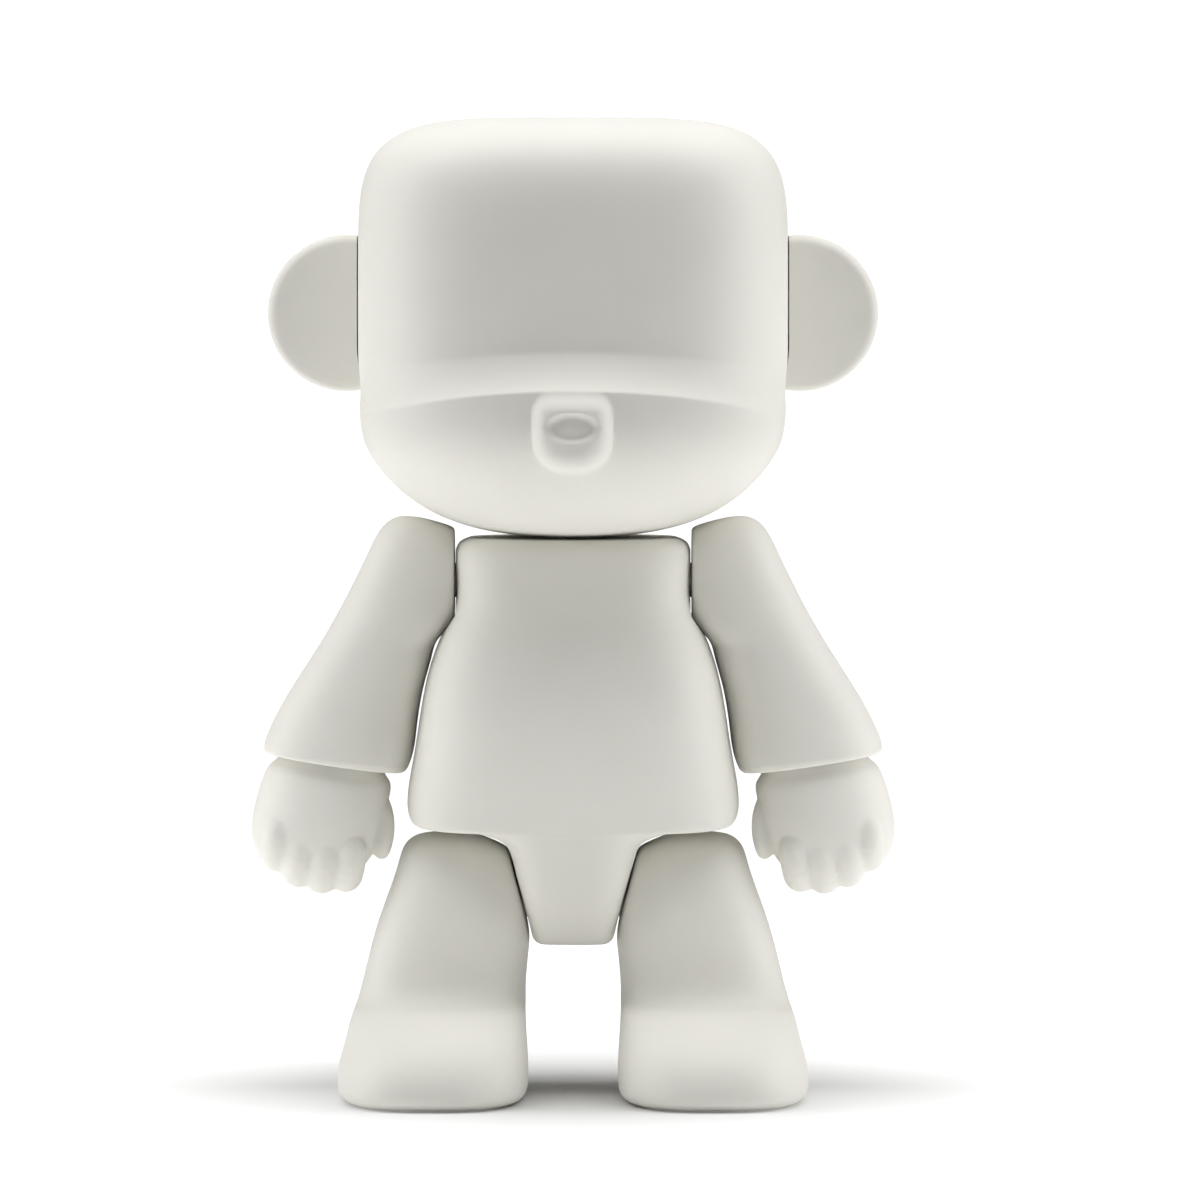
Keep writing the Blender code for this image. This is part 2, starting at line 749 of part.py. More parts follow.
def torso_bores(label, side):
    """The bores for the shoulder and hip studs, the flange's recess and the arm's flat seat."""
    bore = LIMB_STUD.shaft + GAP
    recess = LIMB_STUD.flange + 2 * GAP
    recess_ends = SHOULDER_FACE_X - SHOULDER_RECESS, SHOULDER_FACE_X - SHOULDER_WALL
    seat = SHOULDER_FACE_X - GAP
    hip = hip_swivel(label, side)
    hip_ends = (0, 0, -OVERSHOOT), (0, 0, PELVIS_WALL + GAP)
    hip_bore = add_helper(rod_mesh(f"hip_{label}_wall_bore", *hip_ends, bore))
    place_on_axis([hip_bore], hip.centre, hip.direction)
    return [
        hip_bore,
        side_rod(f"shoulder_{label}_wall_bore", side, WALL, FAR, SHOULDER_Z, bore),
        side_rod(f"shoulder_{label}_recess", side, *recess_ends, SHOULDER_Z, recess),
        side_rod(f"shoulder_{label}_seat", side, seat, FAR, SHOULDER_Z, SHOULDER_SEAT_RADIUS),
    ]


def hip_swivel(label, side):
    centre = Vector((side * HIP_X, SPINE_Y, HIP_Z))
    inward = Vector((-side * math.cos(HIP_TILT), 0, math.sin(HIP_TILT)))
    return Swivel(f"hip_{label}", LIMB_STUD, centre, inward, PELVIS_WALL, LIMB_REACH)


def body_sections():
    """The pelvis and the torso in one skin, squarish at the pelvis and rounder above it."""
    sections = upright_sections(PELVIS_OUTLINE + TORSO_OUTLINE, TORSO_POWER)
    top = TORSO_OUTLINE[3][0] * MM
    bottom = PELVIS_OUTLINE[-4][0] * MM
    made = []
    for section in sections:
        blend = min(1.0, max(0.0, (section.centre.z - bottom) / (top - bottom)))
        made.append(section._replace(power=PELVIS_POWER + (TORSO_POWER - PELVIS_POWER) * blend))
    return made


def make_torso(neck):
    skin = loft_mesh("torso_skin", body_sections(), TORSO_RING)
    room = [TORSO_HOLLOW_FLOOR, *TORSO_OUTLINE[3:-2], TORSO_HOLLOW_ROOF]
    rings = upright_sections(room, TORSO_POWER, WALL)
    hollow = add_helper(loft_mesh("torso_hollow", rings, HOLLOW_RING))
    lower_rings = upright_sections(PELVIS_HOLLOW, PELVIS_HOLLOW_POWER)
    lower = add_helper(loft_mesh("pelvis_hollow", lower_rings, HOLLOW_RING))
    leave_posts("torso", hollow, TORSO_POSTS)
    low = (-NECK_BLOCK_HALF, SPINE_Y - NECK_BLOCK_HALF, NECK_BLOCK_Z[0])
    high = (NECK_BLOCK_HALF, SPINE_Y + NECK_BLOCK_HALF, NECK_BLOCK_Z[1])
    cut(hollow, add_helper(box_mesh("neck_block", low, high)))
    cutters = [hollow, lower, *key_room(neck)]
    for label, side in SIDES.items():
        cutters += torso_bores(label, side)
    split_casing("torso", skin, [], cutters, TORSO_POSTS)
    add_stud(neck)


# ---------------------------------------------------------------- arms and hands


def arm_section(side, row, inset=0.0):
    inner_x, inner_z, outer_x, outer_z, half_depth = row
    inner = Vector((side * inner_x * MM, SPINE_Y, inner_z * MM))
    outer = Vector((side * outer_x * MM, SPINE_Y, outer_z * MM))
    across = (outer - inner) / 2
    across *= 1 - inset / across.length
    deep = Vector((0, half_depth * MM - inset, 0))
    return Section((inner + outer) / 2, across, deep, ARM_POWER)


def arm_hollow(name, side, wrist):
    """The room inside a sleeve, from under its roof down to the floor above the wrist."""
    rings = [arm_section(side, row, WALL) for row in ARM_OUTLINE[1:-1]]
    rings[0] = rings[0]._replace(centre=rings[0].centre - ARM_ROOF_DROP * UP)
    rings[-1] = rings[-1]._replace(centre=wrist.centre + wrist.direction * wrist.wall)
    return add_helper(loft_mesh(f"{name}_hollow", rings, ARM_HOLLOW_RING))


def make_arm(label, side):
    name = f"arm_{label}"
    shoulder_centre = Vector((side * SHOULDER_FACE_X, SPINE_Y, SHOULDER_Z))
    inward = Vector((-side, 0, 0))
    shoulder = Swivel(
        f"shoulder_{label}", LIMB_STUD, shoulder_centre, inward, SHOULDER_WALL, LIMB_REACH
    )
    tilt = Vector((-side * math.sin(WRIST_TILT), 0, math.cos(WRIST_TILT)))
    wrist_centre = Vector((side * WRIST_X, SPINE_Y, WRIST_Z))
    wrist_wall = SLEEVE_MOUTH_DEPTH + SLEEVE_FLOOR
    wrist = Swivel(f"wrist_{label}", LIMB_STUD, wrist_centre, tilt, wrist_wall, WRIST_REACH)

    skin = loft_mesh(f"{name}_skin", [arm_section(side, row) for row in ARM_OUTLINE], ARM_RING)
    hollow = arm_hollow(name, side, wrist)
    cut(hollow, *limb_room(shoulder))
    spots = [(side * x, z) for x, z in ARM_POSTS]
    leave_posts(name, hollow, spots)
    mouth_ends = wrist_centre - tilt * OVERSHOOT, wrist_centre + tilt * SLEEVE_MOUTH_DEPTH
    mouth = rod_mesh(f"{name}_mouth", *mouth_ends, SLEEVE_MOUTH_RADIUS, SLEEVE_RING)
    bore_ends = wrist_centre, wrist_centre + tilt * (wrist_wall + WALL)
    bore = rod_mesh(f"{name}_wrist_bore", *bore_ends, LIMB_STUD.shaft + GAP)
    cutters = [hollow, flat_face(shoulder), *key_room(shoulder), add_helper(mouth)]
    cutters.append(add_helper(bore))
    pieces = split_casing(name, skin, [], cutters, spots)
    hand_pivot = make_hand(label, side, wrist)
    pieces += [add_stud(shoulder), add_washer(shoulder), add_washer(wrist), hand_pivot]
    add_pivot(shoulder, pieces)


def palm_sections(side):
    return [
        Section(
            Vector((side * x, 0, z)) * MM,
            Vector((half_width, 0, 0)) * MM,
            Vector((0, half_depth, 0)) * MM,
            PALM_POWER,
        )
        for z, x, half_width, half_depth in PALM_OUTLINE
    ]


def make_hand(label, side, wrist):
    """A closed fist: its back in front, four curled fingers underneath and the thumb inside."""
    name = f"hand_{label}"
    hand = add_piece(name, loft_mesh(name, palm_sections(side), PALM_RING), "hand_white")
    digits = []
    for index, (x, z, radius) in enumerate(FINGERS):
        ends = [Vector((side * x * MM, y, z * MM)) for y in FINGER_Y]
        finger = capsule_mesh(f"{name}_finger_{index + 1}", *ends, radius * MM)
        digits.append(add_helper(finger))
    mirror = Vector((side, 1, 1))
    ends = THUMB_ROOT * mirror, THUMB_TIP * mirror
    digits.append(add_helper(capsule_mesh(f"{name}_thumb", *ends, THUMB_RADIUS)))
    join(hand, *digits)
    place_on_axis([hand, *digits], wrist.centre, wrist.direction)
    lean = Matrix.Rotation(-side * WRIST_TILT, 3, "Y").to_quaternion()
    for shape in (hand, *digits):
        shape.rotation_quaternion = lean
    cut(hand, *key_room(wrist))
    return add_pivot(wrist, [hand, add_stud(wrist)])


# ---------------------------------------------------------------- legs


def leg_sections(side, rows, inset=0.0):
    sections = []
    for z, inner, outer, front, back in rows:
        centre = Vector((side * (inner + outer) / 2 * MM, SPINE_Y + (front + back) / 2 * MM, z * MM))
        across = Vector(((outer - inner) / 2 * MM - inset, 0, 0))
        deep = Vector((0, (back - front) / 2 * MM - inset, 0))
        sections.append(Section(centre, across, deep, LEG_POWER))
    return sections


def leg_hollow(name, side):
    """The room inside a leg, open at the bottom where the sole goes in."""
    opening = leg_sections(side, [SOLE_ROW], WALL)[0]
    rings = [resized(opening, 1.0, -WALL), resized(opening, 1.0, SOLE_THICKNESS + 4 * GAP)]
    rings += leg_sections(side, [*LEG_OUTLINE[3:-3], LEG_HOLLOW_ROOF], WALL)
    return add_helper(loft_mesh(f"{name}_hollow", rings, HOLLOW_RING))


def make_leg(label, side):
    name = f"leg_{label}"
    hip = hip_swivel(label, side)
    skin = loft_mesh(f"{name}_skin", leg_sections(side, LEG_OUTLINE), LEG_RING)
    hollow = leg_hollow(name, side)
    cut(hollow, *limb_room(hip))
    spots = [(side * x, z) for x, z in LEG_POSTS]
    leave_posts(name, hollow, spots)
    cutters = [hollow, flat_face(hip), *key_room(hip)]
    pieces = split_casing(name, skin, [], cutters, spots)
    sole = leg_sections(side, [SOLE_ROW], WALL + GAP)[0]
    rings = [resized(sole, 1.0, z) for z in (0.0, SOLE_THICKNESS)]
    sole_mesh = loft_mesh(f"foot_sole_{label}", rings, HOLLOW_RING)
    pieces.append(add_piece(f"foot_sole_{label}", sole_mesh, "sole_white"))
    add_pivot(hip, [*pieces, add_stud(hip), add_washer(hip)])


# ---------------------------------------------------------------- figure


def main():
    neck_centre = Vector((0, SPINE_Y, HEAD_BASE_Z))
    neck = Swivel("neck", NECK_STUD, neck_centre, UP, WALL + GAP / 3, NECK_REACH)
    make_head(neck)
    make_torso(neck)
    for label, side in SIDES.items():
        make_arm(label, side)
        make_leg(label, side)


main()
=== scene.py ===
"""Blank articulated figure on a white studio floor.

Each piece is rebuilt at full smoothness from the outlines of its CAD node, rides on that
node's body and stands for it. All positions are in metres in the CAD frame: the figure
stands on z = 0 and faces -Y, so its own left side is at +X.
"""

import json
import math
from typing import NamedTuple

import bmesh
import bpy
import numpy as np
from mathutils import Matrix, Vector

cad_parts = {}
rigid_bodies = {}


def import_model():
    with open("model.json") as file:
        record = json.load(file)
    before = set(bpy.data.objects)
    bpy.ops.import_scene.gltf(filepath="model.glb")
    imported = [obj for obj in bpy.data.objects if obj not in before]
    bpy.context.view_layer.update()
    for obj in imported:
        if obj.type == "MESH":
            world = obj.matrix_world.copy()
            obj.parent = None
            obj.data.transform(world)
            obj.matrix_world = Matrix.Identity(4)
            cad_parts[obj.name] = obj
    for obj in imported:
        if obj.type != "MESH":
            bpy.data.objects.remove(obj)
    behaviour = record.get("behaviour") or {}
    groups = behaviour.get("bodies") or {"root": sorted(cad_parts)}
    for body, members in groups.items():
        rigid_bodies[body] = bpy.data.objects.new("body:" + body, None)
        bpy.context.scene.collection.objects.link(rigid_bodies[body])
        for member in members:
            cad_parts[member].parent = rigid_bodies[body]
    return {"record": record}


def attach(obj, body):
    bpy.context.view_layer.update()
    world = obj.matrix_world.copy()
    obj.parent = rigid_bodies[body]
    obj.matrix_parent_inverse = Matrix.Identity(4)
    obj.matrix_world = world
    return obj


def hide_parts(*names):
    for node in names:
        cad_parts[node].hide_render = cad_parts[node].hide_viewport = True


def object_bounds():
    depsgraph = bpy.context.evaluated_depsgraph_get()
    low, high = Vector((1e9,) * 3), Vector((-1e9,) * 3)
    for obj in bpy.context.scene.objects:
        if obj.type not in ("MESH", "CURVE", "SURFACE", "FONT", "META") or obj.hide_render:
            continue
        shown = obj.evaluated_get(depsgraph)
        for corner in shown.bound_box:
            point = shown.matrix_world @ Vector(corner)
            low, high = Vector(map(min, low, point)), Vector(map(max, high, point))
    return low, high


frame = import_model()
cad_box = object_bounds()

MM = 0.001
FRAME_OBJECTS = set(bpy.data.objects)
JOINTS = {joint["name"]: joint for joint in frame["record"]["behaviour"]["joints"]}
SPINE_Y = JOINTS["neck_swivel"]["pos_m"][1]
HEIGHT = cad_box[1].z
WALL = 2.3 * MM
GAP = 0.3 * MM
OVERSHOOT = 20 * MM
FAR = 60 * MM
SHARP_ANGLE = math.radians(40)
HOLLOW_STEP = 3.0  # between the rings of a hollow, in millimetres
SIDES = {"left": 1, "right": -1}
UP = Vector((0, 0, 1))

# The seam between a front and a rear shell
SEAM_SHOULDER = 0.45 * MM
SEAM_FLOOR = 0.1 * MM
SEAM_DEPTH = 0.25 * MM

# Head
HEAD_HALF_WIDTH = 44.6 * MM
HEAD_DEPTH_SHARE = 43.0 / 44.6
HEAD_POWER = 3.0
HEAD_BASE_Z = JOINTS["neck_swivel"]["pos_m"][2]
ROUND_BELOW_Z = 122.0 * MM
CROWN_START_Z = 170.0 * MM
CROWN_POWER = 4.5
JAW_HALF_WIDTH = 43.4 * MM
LIP_Z = 147.0 * MM
JAW_HEIGHT = 31.0 * MM
JAW_POWER = 2.5
JAW_BLEND_HEIGHT = 9.0 * MM
HEAD_HOLLOW_ROWS = (118.6, 123, 129, 137, 145, 149, 157, 172, 187, 196, 200.4)
HEAD_HOLLOW_POINTS = 72
HEAD_FLOOR_SHARE = 0.86
EAR_CLEARANCE_Z = (135 * MM, 190 * MM)
BROW_REACH_FRONT = 5.2 * MM
BROW_REACH_SIDE = 1.2 * MM
BROW_HEIGHT = 8.5 * MM
BROW_LIP = 0.5 * MM
BROW_SAG = 6.5 * MM
BROW_SPREAD = 14.0 * MM
BROW_TURN = 0.55
BROW_HOLLOW_POWER = 1.35
BROW_SOFTNESS = 0.05

# Rings of the head: along the jaw and the crown, then first, last and step of each band between
JAW_RINGS = 60
JAW_RINGS_END = 128.7 * MM
JAW_FIRST_RISE = 0.05 * MM
CROWN_RINGS = 64
CROWN_RINGS_START = 172.5 * MM
CROWN_FIRST_ANGLE = 0.06
CROWN_LAST_DROP = 0.0005 * MM
HEAD_LEAST_HALF = 0.8 * MM
SNOUT_BAND = (129.0, 145.0, 0.42)
LIP_BAND = (145.0, 149.0, 0.13)
BROW_BAND = (149.0, 158.0, 0.45)
WALL_BAND = (158.0, 172.0, 1.6)
HEAD_FRONT_POINTS = 96
HEAD_REAR_POINTS = 84
SNOUT_POINTS = (0.105, 71)  # half span as a share of the front arc, and their number

# Snout, in millimetres
NOSE_HALF_WIDTH = 8.3
NOSE_ROUND_Z = 139.6
NOSE_LOW_HALF = 8.2
NOSE_POWER = 2.4
NOSE_REACH = 50.9
NOSE_SLOPE_Z = 143.3
NOSE_SLOPE_HEIGHT = 4.0
NOSE_SLOPE_DROP = 3.0
NOSE_SLOPE_POWER = 1.5
NOSE_BOW = 0.008
NOSE_EDGE = 4.2
NOSE_WALL_SLOPE = 5.0
NOSE_FILLET = 1.3
DIMPLE_Z = 140.2
DIMPLE_HALF = (6.0, 3.3)
DIMPLE_DEPTH = 1.1
DIMPLE_STEEPNESS = 1.6
NOSE_ZONE_X = 16
NOSE_ZONE_Y = -20
NOSE_ZONE_Z = (126, 154)

# Ears
EAR_RADIUS = 16.2 * MM
EAR_X = 47.2 * MM
EAR_Z = 162.6 * MM
EAR_HALF_THICKNESS = 4.5 * MM
EAR_EDGE = 1.8 * MM
EAR_DISH = 0.35 * MM
EAR_FACE_SHARES = (0, 0.15, 0.3, 0.45, 0.6, 0.72, 0.82, 0.9, 0.96)
EAR_CORNER_POINTS = 8
EAR_POINTS = 144
EAR_TAB = Vector((14.0, 3.6, 9.0)) * MM
EAR_TAB_END = 47.6 * MM
EAR_HOOK = Vector((2.4, 3.6, 16.0)) * MM

# Torso and pelvis, in millimetres: height, half width, half depth
BODY_STEP = 0.45
BODY_FRONT_POINTS = 120
BODY_REAR_POINTS = 96
BODY_HOLLOW_POINTS = 64
TORSO_POWER = 3.2
TORSO_OUTLINE = (
    (55.8, 31.6, 22.15),
    (56.4, 33.2, 22.29),
    (57.6, 34.0, 22.57),
    (62.0, 34.5, 23.6),
    (71.0, 33.1, 24.9),
    (80.0, 31.7, 25.2),
    (88.0, 30.1, 24.3),
    (94.0, 28.1, 23.1),
    (98.4, 26.1, 21.9),
    (101.5, 24.8, 21.1),
    (109.0, 24.4, 19.3),
    (114.6, 23.9, 17.2),
    (115.9, 21.6, 15.0),
)
TORSO_HOLLOW_FLOOR = (58.4, 34.2, 22.2)
TORSO_HOLLOW_ROOF = (113.6, 21.6, 16.4)
PELVIS_POWER = 4.0
PELVIS_OUTLINE = (
    (31.4, 7.3, 8.6),
    (32.0, 8.1, 10.2),
    (34.5, 8.9, 12.9),
    (38.0, 9.8, 15.4),
    (42.0, 10.85, 17.7),
    (46.0, 11.9, 19.5),
    (50.0, 12.9, 20.8),
    (52.4, 14.2, 21.4),
    (54.0, 17.0, 21.7),
    (54.9, 20.2, 21.95),
    (55.4, 25.0, 22.06),
)
PELVIS_HOLLOW_POWER = 6.0
PELVIS_HOLLOW = (
    (33.4, 6.1, 8.0),
    (36.0, 6.8, 11.2),
    (42.0, 8.4, 14.6),
    (49.0, 10.2, 17.6),
    (60.5, 13.2, 19.2),
)
NECK_BLOCK_HALF = 10.3 * MM
NECK_BLOCK_Z = (107.4 * MM, 115.0 * MM)

# Arms, in millimetres: x and z of the inner end, x and z of the outer end, half depth
ARM_STEP = 0.75
ARM_FRONT_POINTS = 64
ARM_REAR_POINTS = 56
ARM_HOLLOW_POINTS = 48
ARM_POWER = 2.35
ARM_TOP_ROW = (31.0, 119.85, 33.6, 120.25, 1.6)
ARM_OUTLINE = (
    (27.5, 118.9, 36.4, 120.2, 5.0),
    (23.5, 117.2, 39.8, 118.0, 8.4),
    (21.5, 114.0, 42.8, 112.6, 10.6),
    (21.5, 107.5, 46.2, 105.6, 11.6),
    (22.7, 101.5, 49.6, 99.2, 12.0),
    (25.6, 97.4, 52.4, 94.4, 12.2),
    (28.5, 94.1, 54.4, 91.2, 12.4),
    (29.4, 91.4, 56.2, 88.4, 12.7),
    (31.25, 84.5, 60.2, 82.0, 13.2),
    (32.65, 76.0, 63.0, 76.6, 13.7),
    (33.8, 69.6, 64.4, 72.8, 14.1),
    (35.0, 66.7, 64.5, 71.1, 14.1),
)
ARM_ROOF_DROP = 1.2 * MM
ARM_FACE_SOFTNESS = 1.2 * MM
SHOULDER_WALL = 2.7 * MM
SHOULDER_RECESS = 9.0 * MM
SHOULDER_SEAT_RADIUS = 12.9 * MM
SLEEVE_MOUTH_RADIUS = 11.9 * MM
SLEEVE_MOUTH_DEPTH = 3.0 * MM
SLEEVE_MOUTH_POINTS = 96
SLEEVE_FLOOR = 2.2 * MM
SLEEVE_EDGE = 0.9 * MM
SLEEVE_EDGE_RINGS = 6

# Hands, in millimetres from the wrist: height, centre x, half width, half depth
PALM_STEP = 0.7
PALM_POINTS = 96
PALM_POWER = 2.3
PALM_OUTLINE = (
    (2.3, 0.0, 10.6, 10.6),
    (-0.6, 0.0, 11.2, 11.2),
    (-2.2, 0.0, 12.6, 12.2),
    (-6.0, 0.5, 13.4, 13.0),
    (-12.0, 0.95, 13.65, 13.3),
    (-17.5, 1.4, 12.8, 12.4),
    (-21.5, 1.6, 10.6, 10.2),
    (-24.0, 1.6, 7.6, 7.4),
)
# Fingers: x at the knuckle and at the tip, lowest height, radius
FINGERS = (
    (-7.0, -5.6, -26.1, 3.4),
    (-1.8, -1.5, -27.2, 3.5),
    (3.5, 2.8, -26.6, 3.5),
    (8.5, 6.9, -24.1, 3.2),
)
# A finger's path: shares of its knuckle's x and its tip's x, then y and rise over its lowest point
FINGER_CURL = (
    (1.0, 0.0, -8.6, 9.0),
    (1.0, 0.0, -9.0, 4.2),
    (0.97, 0.0, -6.4, 0.8),
    (0.9, 0.0, -1.2, -0.2),
    (0.0, 1.0, 4.6, 0.8),
    (0.0, 1.0, 8.2, 4.4),
    (0.0, 1.0, 8.0, 8.4),
)
THUMB = ((-8.8, -0.6, -4.6), (-11.6, -3.2, -8.8), (-12.5, -4.6, -13.0), (-12.0, -5.4, -17.4))
THUMB_RADIUS = 3.15
DIGIT_STEP = 0.6
DIGIT_RINGS = 26
DIGIT_POINTS = 20
DIGIT_END_SHARE = 0.0016  # of the radius squared, left at a digit's very end
HAND_VOXEL = 0.42 * MM
HAND_SOFTENING = 0.6
HAND_SOFTENINGS = 6

# Legs, in millimetres: height, inner x, outer x, then front and back from the spine
LEG_STEP = 0.6
LEG_FRONT_POINTS = 96
LEG_REAR_POINTS = 64
LEG_HOLLOW_POINTS = 56
LEG_POWER = 2.8
LEG_OUTLINE = (
    (0.6, 10.6, 47.4, -40.4, 18.0),
    (2.2, 9.5, 48.6, -42.2, 19.2),
    (5.0, 9.3, 48.8, -42.6, 19.6),
    (10.5, 9.5, 47.7, -40.4, 19.4),
    (15.6, 9.8, 46.4, -33.2, 18.8),
    (18.2, 9.9, 45.5, -24.8, 18.4),
    (19.9, 9.9, 44.9, -17.6, 18.1),
    (22.0, 9.9, 44.3, -15.7, 17.7),
    (33.0, 9.0, 41.5, -14.9, 15.8),
    (41.0, 9.0, 38.8, -14.5, 14.5),
    (46.5, 10.2, 36.9, -13.0, 13.0),
    (50.5, 13.0, 35.7, -10.0, 10.0),
    (52.9, 17.3, 34.0, -5.9, 5.9),
    (54.2, 21.3, 31.0, -1.4, 1.4),
)
LEG_TOP_ROW = (54.5, 24.6, 28.4, -0.7, 0.7)
LEG_FACE_SOFTNESS = 0.9 * MM
SOLE_ROW = LEG_OUTLINE[2]
SOLE_POINTS = 96
LEG_HOLLOW_ROOF = (51.2, 15.0, 33.8, -7.0, 7.0)
SOLE_THICKNESS = 2.8 * MM
SOLE_CHAMFER = 0.35 * MM
PELVIS_WALL = 2.7 * MM

# Studs, washers and the blocks that hold the keys
KEY_BLOCK = Vector((3.2, 17.8, 16.2)) * MM
NECK_REACH = 5.6 * MM
LIMB_REACH = WALL + GAP + 0.2 * MM
WRIST_REACH = 4.0 * MM
FLANGE_EDGE = 0.5 * MM
KEY_COVER = 0.4 * MM
FLANGE_EDGE_POINTS = 5
STUD_POINTS = 64

# Posts and pins, in millimetres: x and z
POST_RADIUS = 2.7 * MM
PIN_RADIUS = 1.2 * MM
PIN_LENGTH = 3.0 * MM
HEAD_POSTS = ((34.0, 192.0), (-34.0, 192.0), (35.5, 137.5), (-35.5, 137.5))
TORSO_POSTS = ((26.5, 66.0), (-26.5, 66.0))
ARM_POSTS = ((41.0, 107.5), (52.5, 87.5))
LEG_POSTS = ((38.5, 12.0), (18.0, 23.5), (33.0, 47.5))
POST_POINTS = 24


class StudSize(NamedTuple):
    flange: float
    shaft: float
    key: float
    flange_thickness: float
    washer_thickness: float
    key_thickness: float


class Swivel(NamedTuple):
    """A stud's place: the foot of its shaft, the way to its flange, and its two lengths."""

    name: str
    size: StudSize
    centre: Vector
    direction: Vector
    wall: float
    reach: float

    def matrix(self):
        return frame_along(self.centre, self.direction)


NECK_STUD = StudSize(11.0 * MM, 5.6 * MM, 8.6 * MM, 2.4 * MM, 1.2 * MM, 2.6 * MM)
LIMB_STUD = StudSize(6.0 * MM, 3.6 * MM, 6.0 * MM, 2.0 * MM, 0.9 * MM, 2.2 * MM)


# ---------------------------------------------------------------- numbers


def frame_along(centre, direction):
    """A matrix that puts local +Z along the direction and local Y as near up as it can be."""
    turn = Vector(direction).to_track_quat("Z", "Y").to_matrix().to_4x4()
    return Matrix.Translation(centre) @ turn


def smooth_step(share):
    share = np.clip(share, 0.0, 1.0)
    return share * share * (3 - 2 * share)


def smooth_min(a, b, softness):
    blend = np.clip(0.5 + 0.5 * (b - a) / softness, 0.0, 1.0)
    return b + (a - b) * blend - softness * blend * (1 - blend)


def smooth_max(a, b, softness):
    return -smooth_min(-a, -b, softness)


def spline(rows, step):
    """Rows about a step apart on the natural cubic curve through the given rows."""
    points = np.array(rows, float)
    chords = np.sqrt((np.diff(points, axis=0) ** 2).sum(axis=1))
    count = len(points)
    system = np.zeros((count, count))
    target = np.zeros_like(points)
    system[0, 0] = system[-1, -1] = 1.0
    for i in range(1, count - 1):
        before, after = chords[i - 1], chords[i]
        system[i, i - 1 : i + 2] = before, 2 * (before + after), after
        slopes = (points[i + 1] - points[i]) / after - (points[i] - points[i - 1]) / before
        target[i] = 6 * slopes
    bend = np.linalg.solve(system, target)
    made = []
    for i, chord in enumerate(chords):
        number = max(1, round(chord / step))
        t = np.arange(number)[:, None] / number * chord
        left, right = chord - t, t
        made.append(
            bend[i] * left**3 / (6 * chord)
            + bend[i + 1] * right**3 / (6 * chord)
            + (points[i] / chord - bend[i] * chord / 6) * left
            + (points[i + 1] / chord - bend[i + 1] * chord / 6) * right
        )
    made.append(points[-1:])
    return np.concatenate(made)


# ---------------------------------------------------------------- meshes


def new_mesh(name, vertices, faces):
    mesh = bpy.data.meshes.new(name)
    mesh.from_pydata([tuple(v) for v in vertices], [], faces)
    mesh.validate()
    return mesh


def mesh_from(name, bm, matrix=None):
    bmesh.ops.recalc_face_normals(bm, faces=bm.faces)
    if matrix is not None:
        bmesh.ops.transform(bm, matrix=matrix, verts=bm.verts)
    mesh = bpy.data.meshes.new(name)
    bm.to_mesh(mesh)
    bm.free()
    return mesh


def helper(mesh):
    obj = bpy.data.objects.new(mesh.name, mesh)
    bpy.context.scene.collection.objects.link(obj)
    obj.hide_render = True
    return obj


def loft(name, rings):
    """A closed skin through equal rings of points, low to high, with a flat cap at each end."""
    rings = np.asarray(rings, float)
    rows, count = rings.shape[:2]
    faces = []
    for row in range(rows - 1):
        low, high = row * count, (row + 1) * count
        for step in range(count):
            after = (step + 1) % count
            faces.append((low + step, low + after, high + after, high + step))
    faces.append(tuple(reversed(range(count))))
    faces.append(tuple(range((rows - 1) * count, rows * count)))
    mesh = new_mesh(name, rings.reshape(-1, 3), faces)
    bm = bmesh.new()
    bm.from_mesh(mesh)
    bmesh.ops.recalc_face_normals(bm, faces=bm.faces)
    bm.to_mesh(mesh)
    bm.free()
    return mesh


def box_mesh(name, low, high, matrix=None):
    bm = bmesh.new()
    bmesh.ops.create_cube(bm, size=1.0)
    bmesh.ops.scale(bm, vec=[b - a for a, b in zip(low, high)], verts=bm.verts)
    middle = [(a + b) / 2 for a, b in zip(low, high)]
    bmesh.ops.translate(bm, vec=middle, verts=bm.verts)
    return mesh_from(name, bm, matrix)


def centred_box(name, centre, size):
    half = Vector(size) / 2
    return helper(box_mesh(name, Vector(centre) - half, Vector(centre) + half))


def turned_mesh(name, profile, count, matrix, closed=True):
    """Turns a profile of radius and height about local Z. Radius 0 at both ends closes it."""
    bm = bmesh.new()
    rings = []
    for radius, height in profile:
        if radius <= 0:
            rings.append([bm.verts.new((0, 0, height))])
            continue
        angles = (2 * math.pi * step / count for step in range(count))
        spots = [(radius * math.cos(a), radius * math.sin(a), height) for a in angles]
        rings.append([bm.verts.new(spot) for spot in spots])
    pairs = list(zip(rings, rings[1:]))
    if closed:
        pairs.append((rings[-1], rings[0]))
    for one, two in pairs:
        for step in range(count):
            after = (step + 1) % count
            if len(one) == 1:
                bm.faces.new((one[0], two[step], two[after]))
            elif len(two) == 1:
                bm.faces.new((one[step], one[after], two[0]))
            else:
                bm.faces.new((one[step], one[after], two[after], two[step]))
    return mesh_from(name, bm, matrix)


def rod(name, matrix, start, end, radius, count=STUD_POINTS):
    profile = ((0, start), (radius, start), (radius, end), (0, end))
    return helper(turned_mesh(name, profile, count, matrix, closed=False))


def combine(piece, other, operation):
    boolean = piece.modifiers.new(other.name, "BOOLEAN")
    boolean.operation = operation
    boolean.solver = "MANIFOLD"
    boolean.object = other


def cut(piece, *others):
    for other in others:
        combine(piece, other, "DIFFERENCE")


def join(piece, *others):
    for other in others:
        combine(piece, other, "UNION")


def settle(piece):
    """Applies the piece's modifiers, and shades its curves smooth and its corners sharp."""
    graph = bpy.context.evaluated_depsgraph_get()
    mesh = bpy.data.meshes.new_from_object(piece.evaluated_get(graph))
    piece.modifiers.clear()
    piece.data = mesh
    mesh.shade_smooth()
    mesh.set_sharp_from_angle(angle=SHARP_ANGLE)


